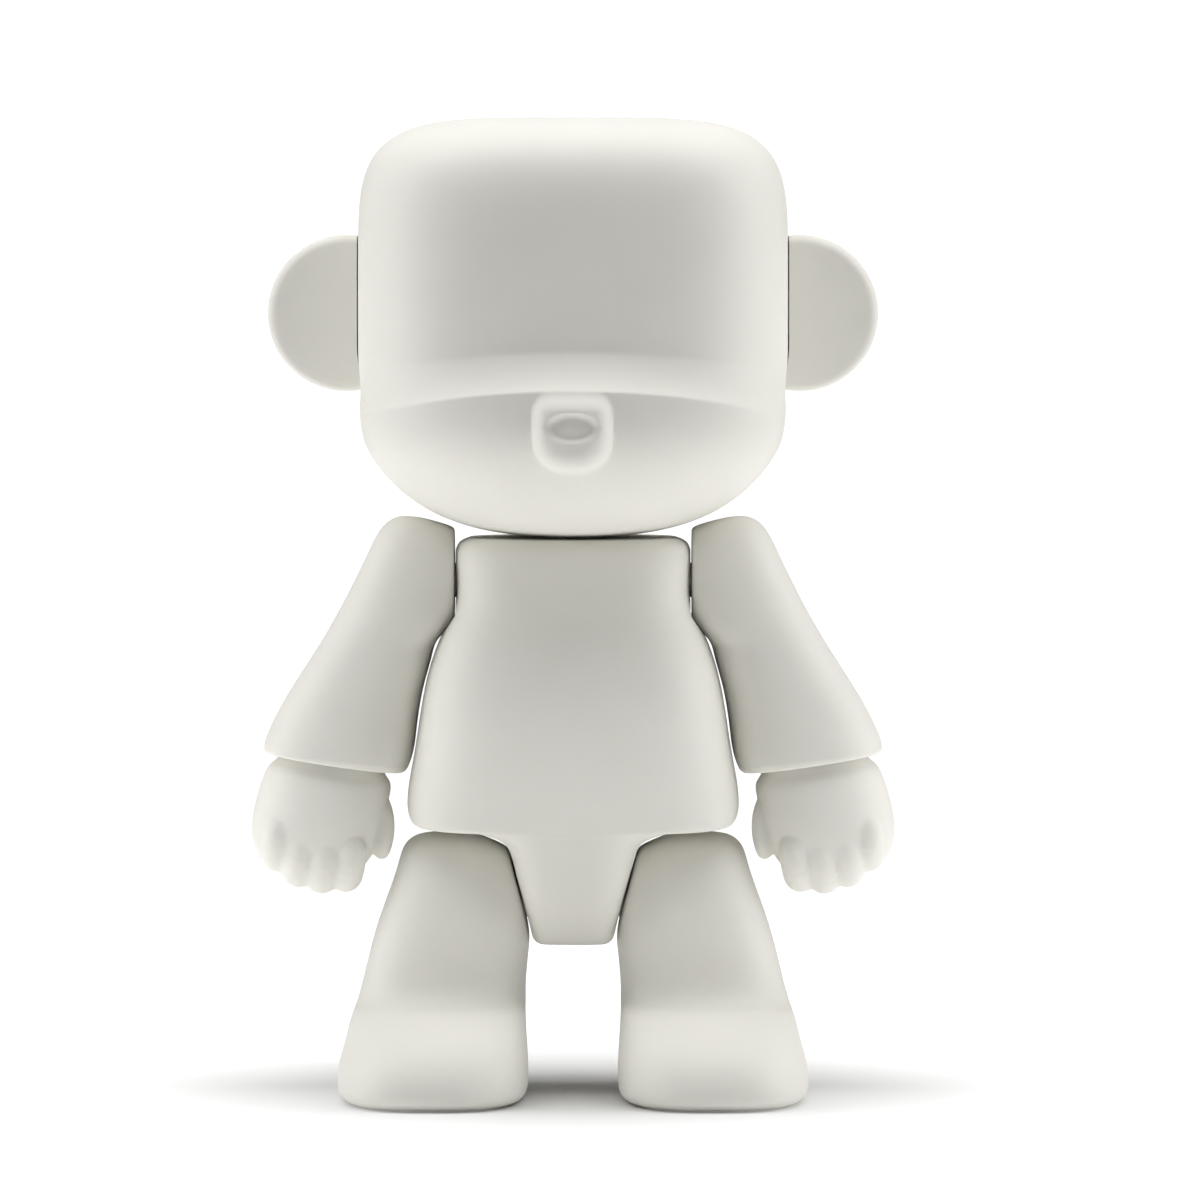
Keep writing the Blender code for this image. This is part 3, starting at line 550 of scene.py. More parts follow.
def show(piece, node, body, finish):
    """The finished piece stands for its CAD node, rides on its body and takes its finish."""
    settle(piece)
    piece.hide_render = False
    piece.name = f"{node}_fine"
    piece.data.name = piece.name
    piece.data.materials.clear()
    piece.data.materials.append(finish)
    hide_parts(node)
    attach(piece, body)


# ---------------------------------------------------------------- rings


def arc_shares(count, dense=None):
    """Shares from 0 to 1 along an arc. dense adds points near the middle: (half span, count)."""
    shares = np.linspace(0, 1, count)
    if dense is None:
        return shares
    span, number = dense
    middle = np.linspace(0.5 - span, 0.5 + span, number)
    return np.concatenate((shares[shares < 0.5 - span], middle, shares[shares > 0.5 + span]))


def plane_angle(offset, power):
    """The angle where a unit superellipse crosses the level line at this share of its half depth."""
    offset = min(0.98, max(-0.98, offset))
    level = abs(offset) ** power
    angle = math.atan((level / (1 - level)) ** (1 / power))
    return math.copysign(angle, offset)


def unit_points(angles, power):
    across, along = np.cos(angles), np.sin(angles)
    size = (np.abs(across) ** power + np.abs(along) ** power) ** (1 / power)
    return np.stack((across / size, along / size), axis=1)


def ring(centre, side, half_depth, power, front, rear):
    """A superellipse in the plane of side and Y, with a shallow groove at the parting plane."""
    half_width = side.length
    offset = SPINE_Y - centre.y
    depth = max(half_depth, 1e-6)
    low = plane_angle((offset - SEAM_SHOULDER) / depth, power)
    high = plane_angle((offset + SEAM_SHOULDER) / depth, power)
    front_angles = low - (math.pi + 2 * low) * front
    rear_angles = math.pi - high - (math.pi - 2 * high) * rear
    front_points = unit_points(front_angles, power) * (half_width, depth)
    rear_points = unit_points(rear_angles, power) * (half_width, depth)
    edge = abs(front_points[0][0])
    inset = max(edge - SEAM_DEPTH, edge * 0.5)
    shifts = ((1, -SEAM_FLOOR), (-1, -SEAM_FLOOR), (-1, SEAM_FLOOR), (1, SEAM_FLOOR))
    grooves = [(sign * inset, offset + shift) for sign, shift in shifts]
    flat = np.concatenate((grooves[:1], front_points, grooves[1:3], rear_points, grooves[3:]))
    unit = np.array(side.normalized())
    points = np.array(centre) + flat[:, :1] * unit
    points[:, 1] += flat[:, 1]
    return points


def plain_ring(centre, side, half_depth, power, count):
    angles = np.linspace(0, 2 * math.pi, count, endpoint=False)
    flat = unit_points(angles, power) * (side.length, half_depth)
    points = np.array(centre) + flat[:, :1] * np.array(side.normalized())
    points[:, 1] += flat[:, 1]
    return points


# ---------------------------------------------------------------- shells


def half_space(name, front):
    limit = 2 * FAR
    plane = SPINE_Y - GAP / 2 if front else SPINE_Y + GAP / 2
    low = (-limit, -limit if front else plane, -limit)
    high = (limit, plane if front else limit, HEIGHT + limit)
    return helper(box_mesh(name, low, high))


def rods_across(name, spots, start_y, end_y, radius):
    """A rod along Y at each spot of x and z."""
    made = []
    for index, (x, z) in enumerate(spots):
        matrix = frame_along(Vector((x * MM, 0, z * MM)), (0, 1, 0))
        made.append(rod(f"{name}_{index}", matrix, start_y, end_y, radius, POST_POINTS))
    return made


def leave_posts(name, hollow, spots):
    cut(hollow, *rods_across(f"{name}_post", spots, SPINE_Y - FAR, SPINE_Y + FAR, POST_RADIUS))


def split_casing(name, body, skin, cutters, spots, finish):
    """The front and the rear shell of one casing, with pins in front and sockets behind."""
    start, end = SPINE_Y - PIN_LENGTH, SPINE_Y + PIN_LENGTH
    pins = rods_across(f"{name}_pin", spots, start, end, PIN_RADIUS)
    sockets = rods_across(f"{name}_socket", spots, start, end + 2 * GAP, PIN_RADIUS + GAP)
    for place in ("front", "rear"):
        shell = helper(skin.copy())
        cut(shell, *cutters)
        combine(shell, half_space(f"{name}_{place}_space", place == "front"), "INTERSECT")
        if place == "front":
            join(shell, *pins)
        else:
            cut(shell, *sockets)
        show(shell, f"{name}_{place}_shell", body, finish)


# ---------------------------------------------------------------- studs


def add_stud(swivel, body, finish):
    size = swivel.size
    matrix = swivel.matrix()
    flange_low = swivel.wall + size.washer_thickness + 2 * GAP
    flange_high = flange_low + size.flange_thickness
    key_low = -swivel.reach - size.key_thickness
    edge = FLANGE_EDGE
    round_edge = [
        (size.flange - edge + edge * math.sin(a), flange_high - edge + edge * math.cos(a))
        for a in np.linspace(0, math.pi / 2, FLANGE_EDGE_POINTS)
    ]
    profile = [
        (0.0, flange_high),
        *round_edge,
        (size.flange, flange_low),
        (size.shaft, flange_low),
        (size.shaft, key_low + KEY_COVER),
        (0.0, key_low + KEY_COVER),
    ]
    mesh = turned_mesh(f"{swivel.name}_turned", profile, STUD_POINTS, matrix, closed=False)
    stud = helper(mesh)
    join(stud, rod(f"{swivel.name}_key", matrix, key_low, -swivel.reach, size.key, 6))
    show(stud, f"{swivel.name}_stud", body, finish)


def add_washer(swivel, body, finish):
    size = swivel.size
    low = swivel.wall + GAP
    high = low + size.washer_thickness
    outer, inner = size.flange - FLANGE_EDGE, size.shaft + GAP
    edge = size.washer_thickness / 6
    profile = (
        (outer - edge, high), (outer, high - edge), (outer, low + edge), (outer - edge, low),
        (inner + edge, low), (inner, low + edge), (inner, high - edge), (inner + edge, high),
    )
    mesh = turned_mesh(f"{swivel.name}_ring", profile, STUD_POINTS, swivel.matrix())
    show(helper(mesh), f"{swivel.name}_washer", body, finish)


def key_room(swivel):
    size = swivel.size
    matrix = swivel.matrix()
    top = -swivel.reach + GAP
    bottom = -swivel.reach - size.key_thickness - GAP
    pocket = rod(f"{swivel.name}_pocket", matrix, bottom, top, size.key + GAP, 6)
    bore = rod(f"{swivel.name}_bore", matrix, bottom - GAP, OVERSHOOT, size.shaft + GAP)
    return [pocket, bore]


def limb_room(swivel):
    """What a limb's hollow leaves solid: its flat inner wall, and the block round the key."""
    matrix = swivel.matrix()
    broad = Vector((FAR, FAR, 0))
    wall = box_mesh(f"{swivel.name}_wall", -broad - WALL * UP, broad + FAR * UP, matrix)
    half = Vector((KEY_BLOCK.y, KEY_BLOCK.z, 0)) / 2
    bottom = (WALL + KEY_BLOCK.x) * UP
    block = box_mesh(f"{swivel.name}_block", -half - bottom, half + FAR * UP, matrix)
    return [helper(wall), helper(block)]


# ---------------------------------------------------------------- head


def crown_scale(z):
    rise = np.clip((z - CROWN_START_Z) / (HEIGHT - CROWN_START_Z), 0, 1)
    return (1 - rise**CROWN_POWER) ** (1 / CROWN_POWER)


def head_half_width(z):
    drop = np.clip((LIP_Z - z) / JAW_HEIGHT, 0, 1)
    jaw = JAW_HALF_WIDTH * (1 - drop**JAW_POWER) ** (1 / JAW_POWER)
    blend = smooth_step((z - LIP_Z) / JAW_BLEND_HEIGHT)
    full = JAW_HALF_WIDTH + (HEAD_HALF_WIDTH - JAW_HALF_WIDTH) * blend
    return np.where(z < LIP_Z, jaw, full * crown_scale(z))


def head_power(z):
    blend = np.clip((z - ROUND_BELOW_Z) / (LIP_Z - ROUND_BELOW_Z), 0, 1)
    return 2.0 + (HEAD_POWER - 2.0) * blend


def head_rows():
    """Heights of the rings: even along the jaw and the crown, and close together at the brow."""
    jaw_angles = np.linspace(0, math.pi / 2, JAW_RINGS)
    reach = (LIP_Z - HEAD_BASE_Z) / JAW_HEIGHT
    jaw = LIP_Z - JAW_HEIGHT * np.minimum(np.cos(jaw_angles) ** (2 / JAW_POWER), reach)
    bands = [np.arange(*band) * MM for band in (SNOUT_BAND, LIP_BAND, BROW_BAND, WALL_BAND)]
    crown_angles = np.linspace(CROWN_FIRST_ANGLE, math.pi / 2, CROWN_RINGS)
    crown = CROWN_START_Z + (HEIGHT - CROWN_START_Z) * np.sin(crown_angles) ** (2 / CROWN_POWER)
    jaw = jaw[(jaw < JAW_RINGS_END) & (jaw > HEAD_BASE_Z + JAW_FIRST_RISE)]
    crown = crown[(crown > CROWN_RINGS_START) & (crown < HEIGHT - CROWN_LAST_DROP)]
    rows = np.concatenate(([HEAD_BASE_Z], jaw, *bands, crown))
    return np.unique(np.round(rows, 8))


def brow_share(above):
    """How far the face stands out: least at the chin, most at the lip, with a slope above it."""
    drop = np.clip(-above / JAW_HEIGHT, 0, 1)
    left = np.clip((BROW_HEIGHT - above) / (BROW_HEIGHT - BROW_LIP), 0, 2)
    return np.clip(smooth_min(1 - drop**2, left**BROW_HOLLOW_POWER, BROW_SOFTNESS), 0, 1)


def shape_brow(points):
    """Pushes the face out under a brow ledge that arches down towards the sides."""
    x, y, z = points[..., 0], points[..., 1] - SPINE_Y, points[..., 2]
    radius = np.hypot(x, y)
    forward = -y / radius
    facing = smooth_step(forward / BROW_TURN)
    side = BROW_REACH_SIDE * facing
    front = BROW_REACH_FRONT * np.clip(forward, 0, 1) ** 2
    above = z - LIP_Z
    scale = 1 + (side + front) * brow_share(above) / radius
    nearness = np.exp(-((above / BROW_SPREAD) ** 2))
    sag = BROW_SAG * (x / HEAD_HALF_WIDTH) ** 2 * nearness * facing
    return np.stack((x * scale, SPINE_Y + y * scale, z - sag), axis=-1)


def shape_snout(points):
    """Raises the snout in front of the face, with rounded edges and a shallow oval dimple."""
    x, y, z = points[..., 0] / MM, (points[..., 1] - SPINE_Y) / MM, points[..., 2] / MM
    under = np.clip(NOSE_ROUND_Z - z, 0, None) / NOSE_LOW_HALF
    size = (np.abs(x / NOSE_HALF_WIDTH) ** NOSE_POWER + under**NOSE_POWER) ** (1 / NOSE_POWER)
    inside = (1 - size) * NOSE_HALF_WIDTH
    edge = np.clip(NOSE_EDGE - inside, 0, NOSE_EDGE)
    drop = NOSE_EDGE - np.sqrt(NOSE_EDGE**2 - edge**2)
    drop = drop + np.clip(-inside, 0, None) * NOSE_WALL_SLOPE
    above = np.clip((z - NOSE_SLOPE_Z) / NOSE_SLOPE_HEIGHT, 0, None)
    reach = NOSE_REACH - NOSE_SLOPE_DROP * above**NOSE_SLOPE_POWER - NOSE_BOW * x**2
    hollow = 1 - (x / DIMPLE_HALF[0]) ** 2 - ((z - DIMPLE_Z) / DIMPLE_HALF[1]) ** 2
    reach = reach - DIMPLE_DEPTH * smooth_step(hollow * DIMPLE_STEEPNESS)
    front = -(reach - drop)
    shaped = smooth_min(y, front, NOSE_FILLET)
    low, high = NOSE_ZONE_Z
    near = (y < NOSE_ZONE_Y) & (np.abs(x) < NOSE_ZONE_X) & (z > low) & (z < high)
    made = points.copy()
    made[..., 1] = np.where(near, shaped * MM + SPINE_Y, points[..., 1])
    return made


def head_rings(rows, inset=0.0):
    front = arc_shares(HEAD_FRONT_POINTS, SNOUT_POINTS)
    rear = arc_shares(HEAD_REAR_POINTS)
    half_widths, powers = head_half_width(rows), head_power(rows)
    made = []
    for z, half_width, power in zip(rows, half_widths, powers):
        half = max(half_width - inset, HEAD_LEAST_HALF)
        centre, side = Vector((0, SPINE_Y, z)), Vector((half, 0, 0))
        made.append(ring(centre, side, half * HEAD_DEPTH_SHARE, power, front, rear))
    return np.array(made)


def head_hollow():
    rows = spline([(z,) for z in HEAD_HOLLOW_ROWS], HOLLOW_STEP)[:, 0] * MM
    half_widths, powers = head_half_width(rows) - WALL, head_power(rows)
    half_widths[0] *= HEAD_FLOOR_SHARE
    rings = [
        plain_ring(
            Vector((0, SPINE_Y, z)), Vector((half, 0, 0)), half * HEAD_DEPTH_SHARE, power,
            HEAD_HOLLOW_POINTS,
        )
        for z, half, power in zip(rows, half_widths, powers)
    ]
    return helper(loft("head_hollow", shape_brow(np.array(rings))))


def ear_profile():
    """From the middle of one face of the ear, over its round edge, to the other face."""
    half, edge, radius = EAR_HALF_THICKNESS, EAR_EDGE, EAR_RADIUS
    face = [
        (share * (radius - edge), half - EAR_DISH * (1 - share**4)) for share in EAR_FACE_SHARES
    ]
    corner = [
        (radius - edge + edge * math.sin(a), half - edge + edge * math.cos(a))
        for a in np.linspace(0, math.pi / 2, EAR_CORNER_POINTS)
    ]
    upper = face + corner
    return upper + [(r, -z) for r, z in reversed(upper)]


def make_ear(label, side, clearance, finish):
    name = f"ear_{label}"
    matrix = frame_along(Vector((side * EAR_X, SPINE_Y, EAR_Z)), (0, -1, 0))
    ear = helper(turned_mesh(f"{name}_disc", ear_profile(), EAR_POINTS, matrix, closed=False))
    cut(ear, clearance)
    tab_x = EAR_TAB_END - EAR_TAB.x / 2
    hook_x = EAR_TAB_END - EAR_TAB.x + EAR_HOOK.x / 2
    for part, x, size in (("tab", tab_x, EAR_TAB), ("hook", hook_x, EAR_HOOK)):
        join(ear, centred_box(f"{name}_{part}", (side * x, SPINE_Y, EAR_Z), size))
    show(ear, name, "head", finish)


def make_head(neck, finishes):
    rows = head_rows()
    skin = loft("head_skin", shape_snout(shape_brow(head_rings(rows))))
    hollow = head_hollow()
    leave_posts("head", hollow, HEAD_POSTS)
    bore = rod("neck_floor_bore", neck.matrix(), -OVERSHOOT, 2 * WALL, NECK_STUD.shaft + GAP)
    slot_size = (2 * (EAR_X + OVERSHOOT), EAR_TAB.y + 2 * GAP, EAR_TAB.z + 2 * GAP)
    slot = centred_box("ear_slot", (0, SPINE_Y, EAR_Z), slot_size)
    cutters = [hollow, bore, slot]
    split_casing("head", "head", skin, cutters, HEAD_POSTS, finishes["casing"])
    low, high = EAR_CLEARANCE_Z
    middle = rows[(rows > low) & (rows < high)]
    clearance = helper(loft("head_clearance", shape_brow(head_rings(middle[::2], -GAP))))
    for label, side in SIDES.items():
        make_ear(label, side, clearance, finishes["casing"])
    add_washer(neck, "head", finishes["rubber"])


# ---------------------------------------------------------------- torso


def body_rings():
    """The pelvis and the torso in one skin, squarish at the pelvis and rounder above it."""
    front, rear = arc_shares(BODY_FRONT_POINTS), arc_shares(BODY_REAR_POINTS)
    bottom, top = PELVIS_OUTLINE[-4][0], TORSO_OUTLINE[3][0]
    made = []
    for z, half_width, half_depth in spline(PELVIS_OUTLINE + TORSO_OUTLINE, BODY_STEP):
        blend = smooth_step((z - bottom) / (top - bottom))
        power = PELVIS_POWER + (TORSO_POWER - PELVIS_POWER) * blend
        side = Vector((half_width * MM, 0, 0))
        made.append(ring(Vector((0, SPINE_Y, z * MM)), side, half_depth * MM, power, front, rear))
    return made


def body_hollow(name, outline, power, inset):
    rings = [
        plain_ring(
            Vector((0, SPINE_Y, z * MM)), Vector((half_width * MM - inset, 0, 0)),
            half_depth * MM - inset, power, BODY_HOLLOW_POINTS,
        )
        for z, half_width, half_depth in spline(outline, HOLLOW_STEP)
    ]
    return helper(loft(name, rings))


def side_rod(name, side, start_x, end_x, z, radius):
    matrix = frame_along(Vector((0, SPINE_Y, z)), (side, 0, 0))
    return rod(name, matrix, start_x, end_x, radius)


def torso_bores(label, side, shoulder, hip):
    bore = LIMB_STUD.shaft + GAP
    recess = LIMB_STUD.flange + 2 * GAP
    face_x, z = abs(shoulder.centre.x), shoulder.centre.z
    recess_ends = face_x - SHOULDER_RECESS, face_x - SHOULDER_WALL
    seat = face_x - GAP
    return [
        rod(f"hip_{label}_wall_bore", hip.matrix(), -OVERSHOOT, PELVIS_WALL + GAP, bore),
        side_rod(f"shoulder_{label}_wall_bore", side, WALL, FAR, z, bore),
        side_rod(f"shoulder_{label}_recess", side, *recess_ends, z, recess),
        side_rod(f"shoulder_{label}_seat", side, seat, FAR, z, SHOULDER_SEAT_RADIUS),
    ]


def make_torso(neck, swivels, finishes):
    skin = loft("torso_skin", body_rings())
    room = [TORSO_HOLLOW_FLOOR, *TORSO_OUTLINE[3:-2], TORSO_HOLLOW_ROOF]
    hollow = body_hollow("torso_hollow", room, TORSO_POWER, WALL)
    lower = body_hollow("pelvis_hollow", PELVIS_HOLLOW, PELVIS_HOLLOW_POWER, 0.0)
    leave_posts("torso", hollow, TORSO_POSTS)
    low = (-NECK_BLOCK_HALF, SPINE_Y - NECK_BLOCK_HALF, NECK_BLOCK_Z[0])
    high = (NECK_BLOCK_HALF, SPINE_Y + NECK_BLOCK_HALF, NECK_BLOCK_Z[1])
    cut(hollow, helper(box_mesh("neck_block", low, high)))
    cutters = [hollow, lower, *key_room(neck)]
    for label, side in SIDES.items():
        cutters += torso_bores(label, side, swivels["shoulder", label], swivels["hip", label])
    split_casing("torso", "torso", skin, cutters, TORSO_POSTS, finishes["casing"])
    add_stud(neck, "torso", finishes["nylon"])


# ---------------------------------------------------------------- arms


def arm_rows():
    """The sleeve's rows with their insets, ending in a quarter round along its lower edge."""
    last = np.array(ARM_OUTLINE[-1])
    fall = last - np.array(ARM_OUTLINE[-2])
    lowest = last[[1, 3]].mean() + SLEEVE_EDGE / MM
    plain = spline((ARM_TOP_ROW, *ARM_OUTLINE), ARM_STEP)
    rows = [(row, 0.0) for row in plain if row[[1, 3]].mean() > lowest]
    for angle in np.linspace(0, math.pi / 2, SLEEVE_EDGE_RINGS):
        rise = (1 - math.sin(angle)) * SLEEVE_EDGE / MM
        share = rise / -fall[[1, 3]].mean()
        rows.append((last - fall * share, (1 - math.cos(angle)) * SLEEVE_EDGE))
    return rows


def arm_rings(side, face_x):
    """The sleeve's rings from its domed top to its rounded lower edge, flat at the shoulder."""
    front, rear = arc_shares(ARM_FRONT_POINTS), arc_shares(ARM_REAR_POINTS)
    made = []
    for (inner_x, inner_z, outer_x, outer_z, half_depth), inset in arm_rows():
        inner = Vector((side * inner_x * MM, SPINE_Y, inner_z * MM))
        outer = Vector((side * outer_x * MM, SPINE_Y, outer_z * MM))
        across = (outer - inner) / 2 * side
        across *= 1 - inset / across.length
        points = ring((inner + outer) / 2, across, half_depth * MM - inset, ARM_POWER, front, rear)
        face = np.full(len(points), face_x)
        points[:, 0] = side * smooth_max(side * points[:, 0], face, ARM_FACE_SOFTNESS)
        made.append(points)
    return made[::-1]


def arm_hollow(name, side, wrist):
    rings = []
    rows = list(ARM_OUTLINE[1:-1])
    for index, (inner_x, inner_z, outer_x, outer_z, half_depth) in enumerate(rows):
        inner = Vector((side * inner_x * MM, SPINE_Y, inner_z * MM))
        outer = Vector((side * outer_x * MM, SPINE_Y, outer_z * MM))
        across = (outer - inner) / 2
        across *= 1 - WALL / across.length
        centre = (inner + outer) / 2
        if index == 0:
            centre = centre - ARM_ROOF_DROP * UP
        if index == len(rows) - 1:
            centre = wrist.centre + wrist.direction * wrist.wall
        half_depth = half_depth * MM - WALL
        rings.append(plain_ring(centre, across * side, half_depth, ARM_POWER, ARM_HOLLOW_POINTS))
    return helper(loft(f"{name}_hollow", rings[::-1]))


def make_arm(label, side, swivels, finishes):
    name = f"arm_{label}"
    shoulder, wrist = swivels["shoulder", label], swivels["wrist", label]
    skin = loft(f"{name}_skin", arm_rings(side, abs(shoulder.centre.x)))
    hollow = arm_hollow(name, side, wrist)
    cut(hollow, *limb_room(shoulder))
    spots = [(side * x, z) for x, z in ARM_POSTS]
    leave_posts(name, hollow, spots)
    matrix = wrist.matrix()
    depth, radius = SLEEVE_MOUTH_DEPTH, SLEEVE_MOUTH_RADIUS
    mouth = rod(f"{name}_mouth_bore", matrix, -OVERSHOOT, depth, radius, SLEEVE_MOUTH_POINTS)
    bore = rod(f"{name}_wrist_bore", matrix, 0, wrist.wall + WALL, LIMB_STUD.shaft + GAP)
    cutters = [hollow, *key_room(shoulder), mouth, bore]
    split_casing(name, name, skin, cutters, spots, finishes["casing"])
    add_stud(shoulder, name, finishes["nylon"])
    add_washer(shoulder, name, finishes["rubber"])
    add_washer(wrist, name, finishes["rubber"])


# ---------------------------------------------------------------- hands


def tube(name, path, radii, matrix):
    """A closed round-ended tube along a path of points."""
    path = [Vector(p) for p in path]
    rings = []
    total = len(path)
    previous = None
    for index, point in enumerate(path):
        ahead = path[min(index + 1, total - 1)] - path[max(index - 1, 0)]
        turn = ahead.to_track_quat("Z", "Y") if previous is None else (
            previous.rotation_difference(ahead).to_matrix().to_quaternion() @ turn
        )
        previous = ahead
        across, along = turn @ Vector((1, 0, 0)), turn @ Vector((0, 1, 0))
        rings.append([
            matrix @ (point + (across * math.cos(a) + along * math.sin(a)) * radii[index])
            for a in np.linspace(0, 2 * math.pi, DIGIT_POINTS, endpoint=False)
        ])
    return helper(loft(name, rings))


def digit_path(points, radius):
    """A smooth path through the points, and radii that round off both of its ends."""
    rows = spline(points, DIGIT_STEP)
    lengths = np.concatenate(([0], np.cumsum(np.sqrt((np.diff(rows, axis=0) ** 2).sum(axis=1)))))
    total = lengths[-1]
    places = total * (1 - np.cos(np.linspace(0, math.pi, DIGIT_RINGS))) / 2
    path = np.stack([np.interp(places, lengths, rows[:, axis]) for axis in range(3)], axis=1)
    nearness = np.minimum(places, total - places)
    share = np.clip(1 - nearness / radius, 0, 1)
    radii = radius * np.sqrt(np.clip(1 - share**2, DIGIT_END_SHARE, 1))
    return path * MM, radii * MM


def make_hand(label, side, swivels, finishes):
    """A closed fist: its back in front, four curled fingers underneath and the thumb inside."""
    name = f"hand_{label}"
    wrist = swivels["wrist", label]
    lean = Matrix.Rotation(math.atan2(wrist.direction.x, wrist.direction.z), 4, "Y")
    matrix = Matrix.Translation(wrist.centre) @ lean @ Matrix.Diagonal((side, 1, 1, 1))
    rings = []
    for z, x, half_width, half_depth in spline(PALM_OUTLINE, PALM_STEP)[::-1]:
        angles = np.linspace(0, 2 * math.pi, PALM_POINTS, endpoint=False)
        flat = unit_points(angles, PALM_POWER) * (half_width, half_depth)
        rings.append([matrix @ (Vector((x + u, v, z)) * MM) for u, v in flat])
    hand = helper(loft(f"{name}_palm", rings))
    for index, (knuckle, tip, low, radius) in enumerate(FINGERS):
        points = [
            (knuckle * near + tip * far, y, low + radius + rise) for near, far, y, rise in FINGER_CURL
        ]
        path, radii = digit_path(points, radius)
        join(hand, tube(f"{name}_finger_{index + 1}", path, radii, matrix))
    path, radii = digit_path(THUMB, THUMB_RADIUS)
    join(hand, tube(f"{name}_thumb", path, radii, matrix))
    remesh = hand.modifiers.new("even", "REMESH")
    remesh.mode = "VOXEL"
    remesh.voxel_size = HAND_VOXEL
    soften = hand.modifiers.new("soften", "SMOOTH")
    soften.factor = HAND_SOFTENING
    soften.iterations = HAND_SOFTENINGS
    settle(hand)
    cut(hand, *key_room(wrist))
    show(hand, name, name, finishes["hand"])
    add_stud(wrist, name, finishes["nylon"])


# ---------------------------------------------------------------- legs


def leg_rings(side, swivel):
    """Rings of the boot and leg, from the sole up, flat against the hip's leaning face."""
    front, rear = arc_shares(LEG_FRONT_POINTS), arc_shares(LEG_REAR_POINTS)
    normal = np.array(swivel.direction)
    centre = np.array(swivel.centre)
    made = []
    for z, inner, outer, ahead, behind in spline((*LEG_OUTLINE, LEG_TOP_ROW), LEG_STEP):
        middle = Vector(((inner + outer) / 2 * side, SPINE_Y / MM + (ahead + behind) / 2, z)) * MM
        across = Vector(((outer - inner) / 2 * MM, 0, 0))
        points = ring(middle, across, (behind - ahead) / 2 * MM, LEG_POWER, front, rear)
        past = (points - centre) @ normal
        kept = smooth_min(past, np.zeros(len(points)), LEG_FACE_SOFTNESS)
        points[:, 0] += (kept - past) / normal[0]
        made.append(points)
    return made


def leg_section_ring(side, row, inset, z, count=LEG_HOLLOW_POINTS):
    _, inner, outer, ahead, behind = row
    middle = Vector(((inner + outer) / 2 * side * MM, SPINE_Y + (ahead + behind) / 2 * MM, z))
    across = Vector(((outer - inner) / 2 * MM - inset, 0, 0))
    return plain_ring(middle, across, (behind - ahead) / 2 * MM - inset, LEG_POWER, count)


def leg_hollow(name, side):
    rings = [leg_section_ring(side, SOLE_ROW, WALL, z) for z in (-WALL, SOLE_THICKNESS + 4 * GAP)]
    rings += [
        leg_section_ring(side, row, WALL, row[0] * MM)
        for row in (*LEG_OUTLINE[3:-3], LEG_HOLLOW_ROOF)
    ]
    return helper(loft(f"{name}_hollow", rings))


def make_leg(label, side, swivels, finishes):
    name = f"leg_{label}"
    hip = swivels["hip", label]
    skin = loft(f"{name}_skin", leg_rings(side, hip))
    hollow = leg_hollow(name, side)
    cut(hollow, *limb_room(hip))
    spots = [(side * x, z) for x, z in LEG_POSTS]
    leave_posts(name, hollow, spots)
    cutters = [hollow, *key_room(hip)]
    split_casing(name, name, skin, cutters, spots, finishes["casing"])
    rows = (
        (SOLE_CHAMFER, 0.0), (0.0, SOLE_CHAMFER), (0.0, SOLE_THICKNESS - SOLE_CHAMFER),
        (SOLE_CHAMFER, SOLE_THICKNESS),
    )
    rings = [
        leg_section_ring(side, SOLE_ROW, WALL + GAP + inset, z, SOLE_POINTS) for inset, z in rows
    ]
    sole = helper(loft(f"sole_plate_{label}", rings))
    show(sole, f"foot_sole_{label}", name, finishes["sole"])
    add_stud(hip, name, finishes["nylon"])
    add_washer(hip, name, finishes["rubber"])


# ---------------------------------------------------------------- finishes


class Finish(NamedTuple):
    """One moulded material: its colour, gloss, grain, and how far light passes into it."""

    name: str
    colour: tuple
    roughness: float
    grain_scale: float
    grain_strength: float
    translucency: float = 0.0


FINISHES = {
    "casing": Finish("casing_white", (0.835, 0.822, 0.765), 0.55, 2600.0, 0.35, 0.12),
    "hand": Finish("hand_white", (0.845, 0.832, 0.775), 0.6, 2300.0, 0.35, 0.15),
    "sole": Finish("sole_white", (0.78, 0.77, 0.72), 0.66, 1500.0, 0.6),
    "nylon": Finish("stud_nylon", (0.88, 0.865, 0.8), 0.36, 900.0, 0.2),
    "rubber": Finish("washer_rubber", (0.42, 0.42, 0.41), 0.78, 1800.0, 0.5),
}
MOTTLE_SCALE, MOTTLE_DETAIL, MOTTLE_DIM = 55.0, 4.0, 0.972
GLOSS_SCALE, GLOSS_LESS, GLOSS_MORE = 140.0, 0.05, 0.06
WAVE_SCALE, WAVE_DETAIL, WAVE_STRENGTH, WAVE_DEPTH = 60.0, 1.0, 0.05, 0.6 * MM
GRAIN_DEPTH, FINE_DETAIL = 0.05 * MM, 3.0
SPECULAR_LEVEL = 0.35
GLOW_RADIUS, GLOW_DEPTH = (1.0, 0.9, 0.8), 1.2 * MM


def noise(tree, coordinates, scale, detail):
    node = tree.nodes.new("ShaderNodeTexNoise")
    node.inputs["Scale"].default_value = scale
    node.inputs["Detail"].default_value = detail
    tree.links.new(coordinates, node.inputs["Vector"])
    return node.outputs["Fac"]


def spread(tree, value, low, high, start=0.3, end=0.7):
    """Turns a value between start and end into one between low and high."""
    node = tree.nodes.new("ShaderNodeMapRange")
    node.inputs["From Min"].default_value = start
    node.inputs["From Max"].default_value = end
    node.inputs["To Min"].default_value = low
    node.inputs["To Max"].default_value = high
    tree.links.new(value, node.inputs["Value"])
    return node.outputs["Result"]


def colour_between(tree, factor, one, two):
    mix = tree.nodes.new("ShaderNodeMix")
    mix.data_type = "RGBA"
    tree.links.new(factor, mix.inputs["Factor"])
    mix.inputs["A"].default_value = (*one, 1.0)
    mix.inputs["B"].default_value = (*two, 1.0)
    return mix.outputs["Result"]


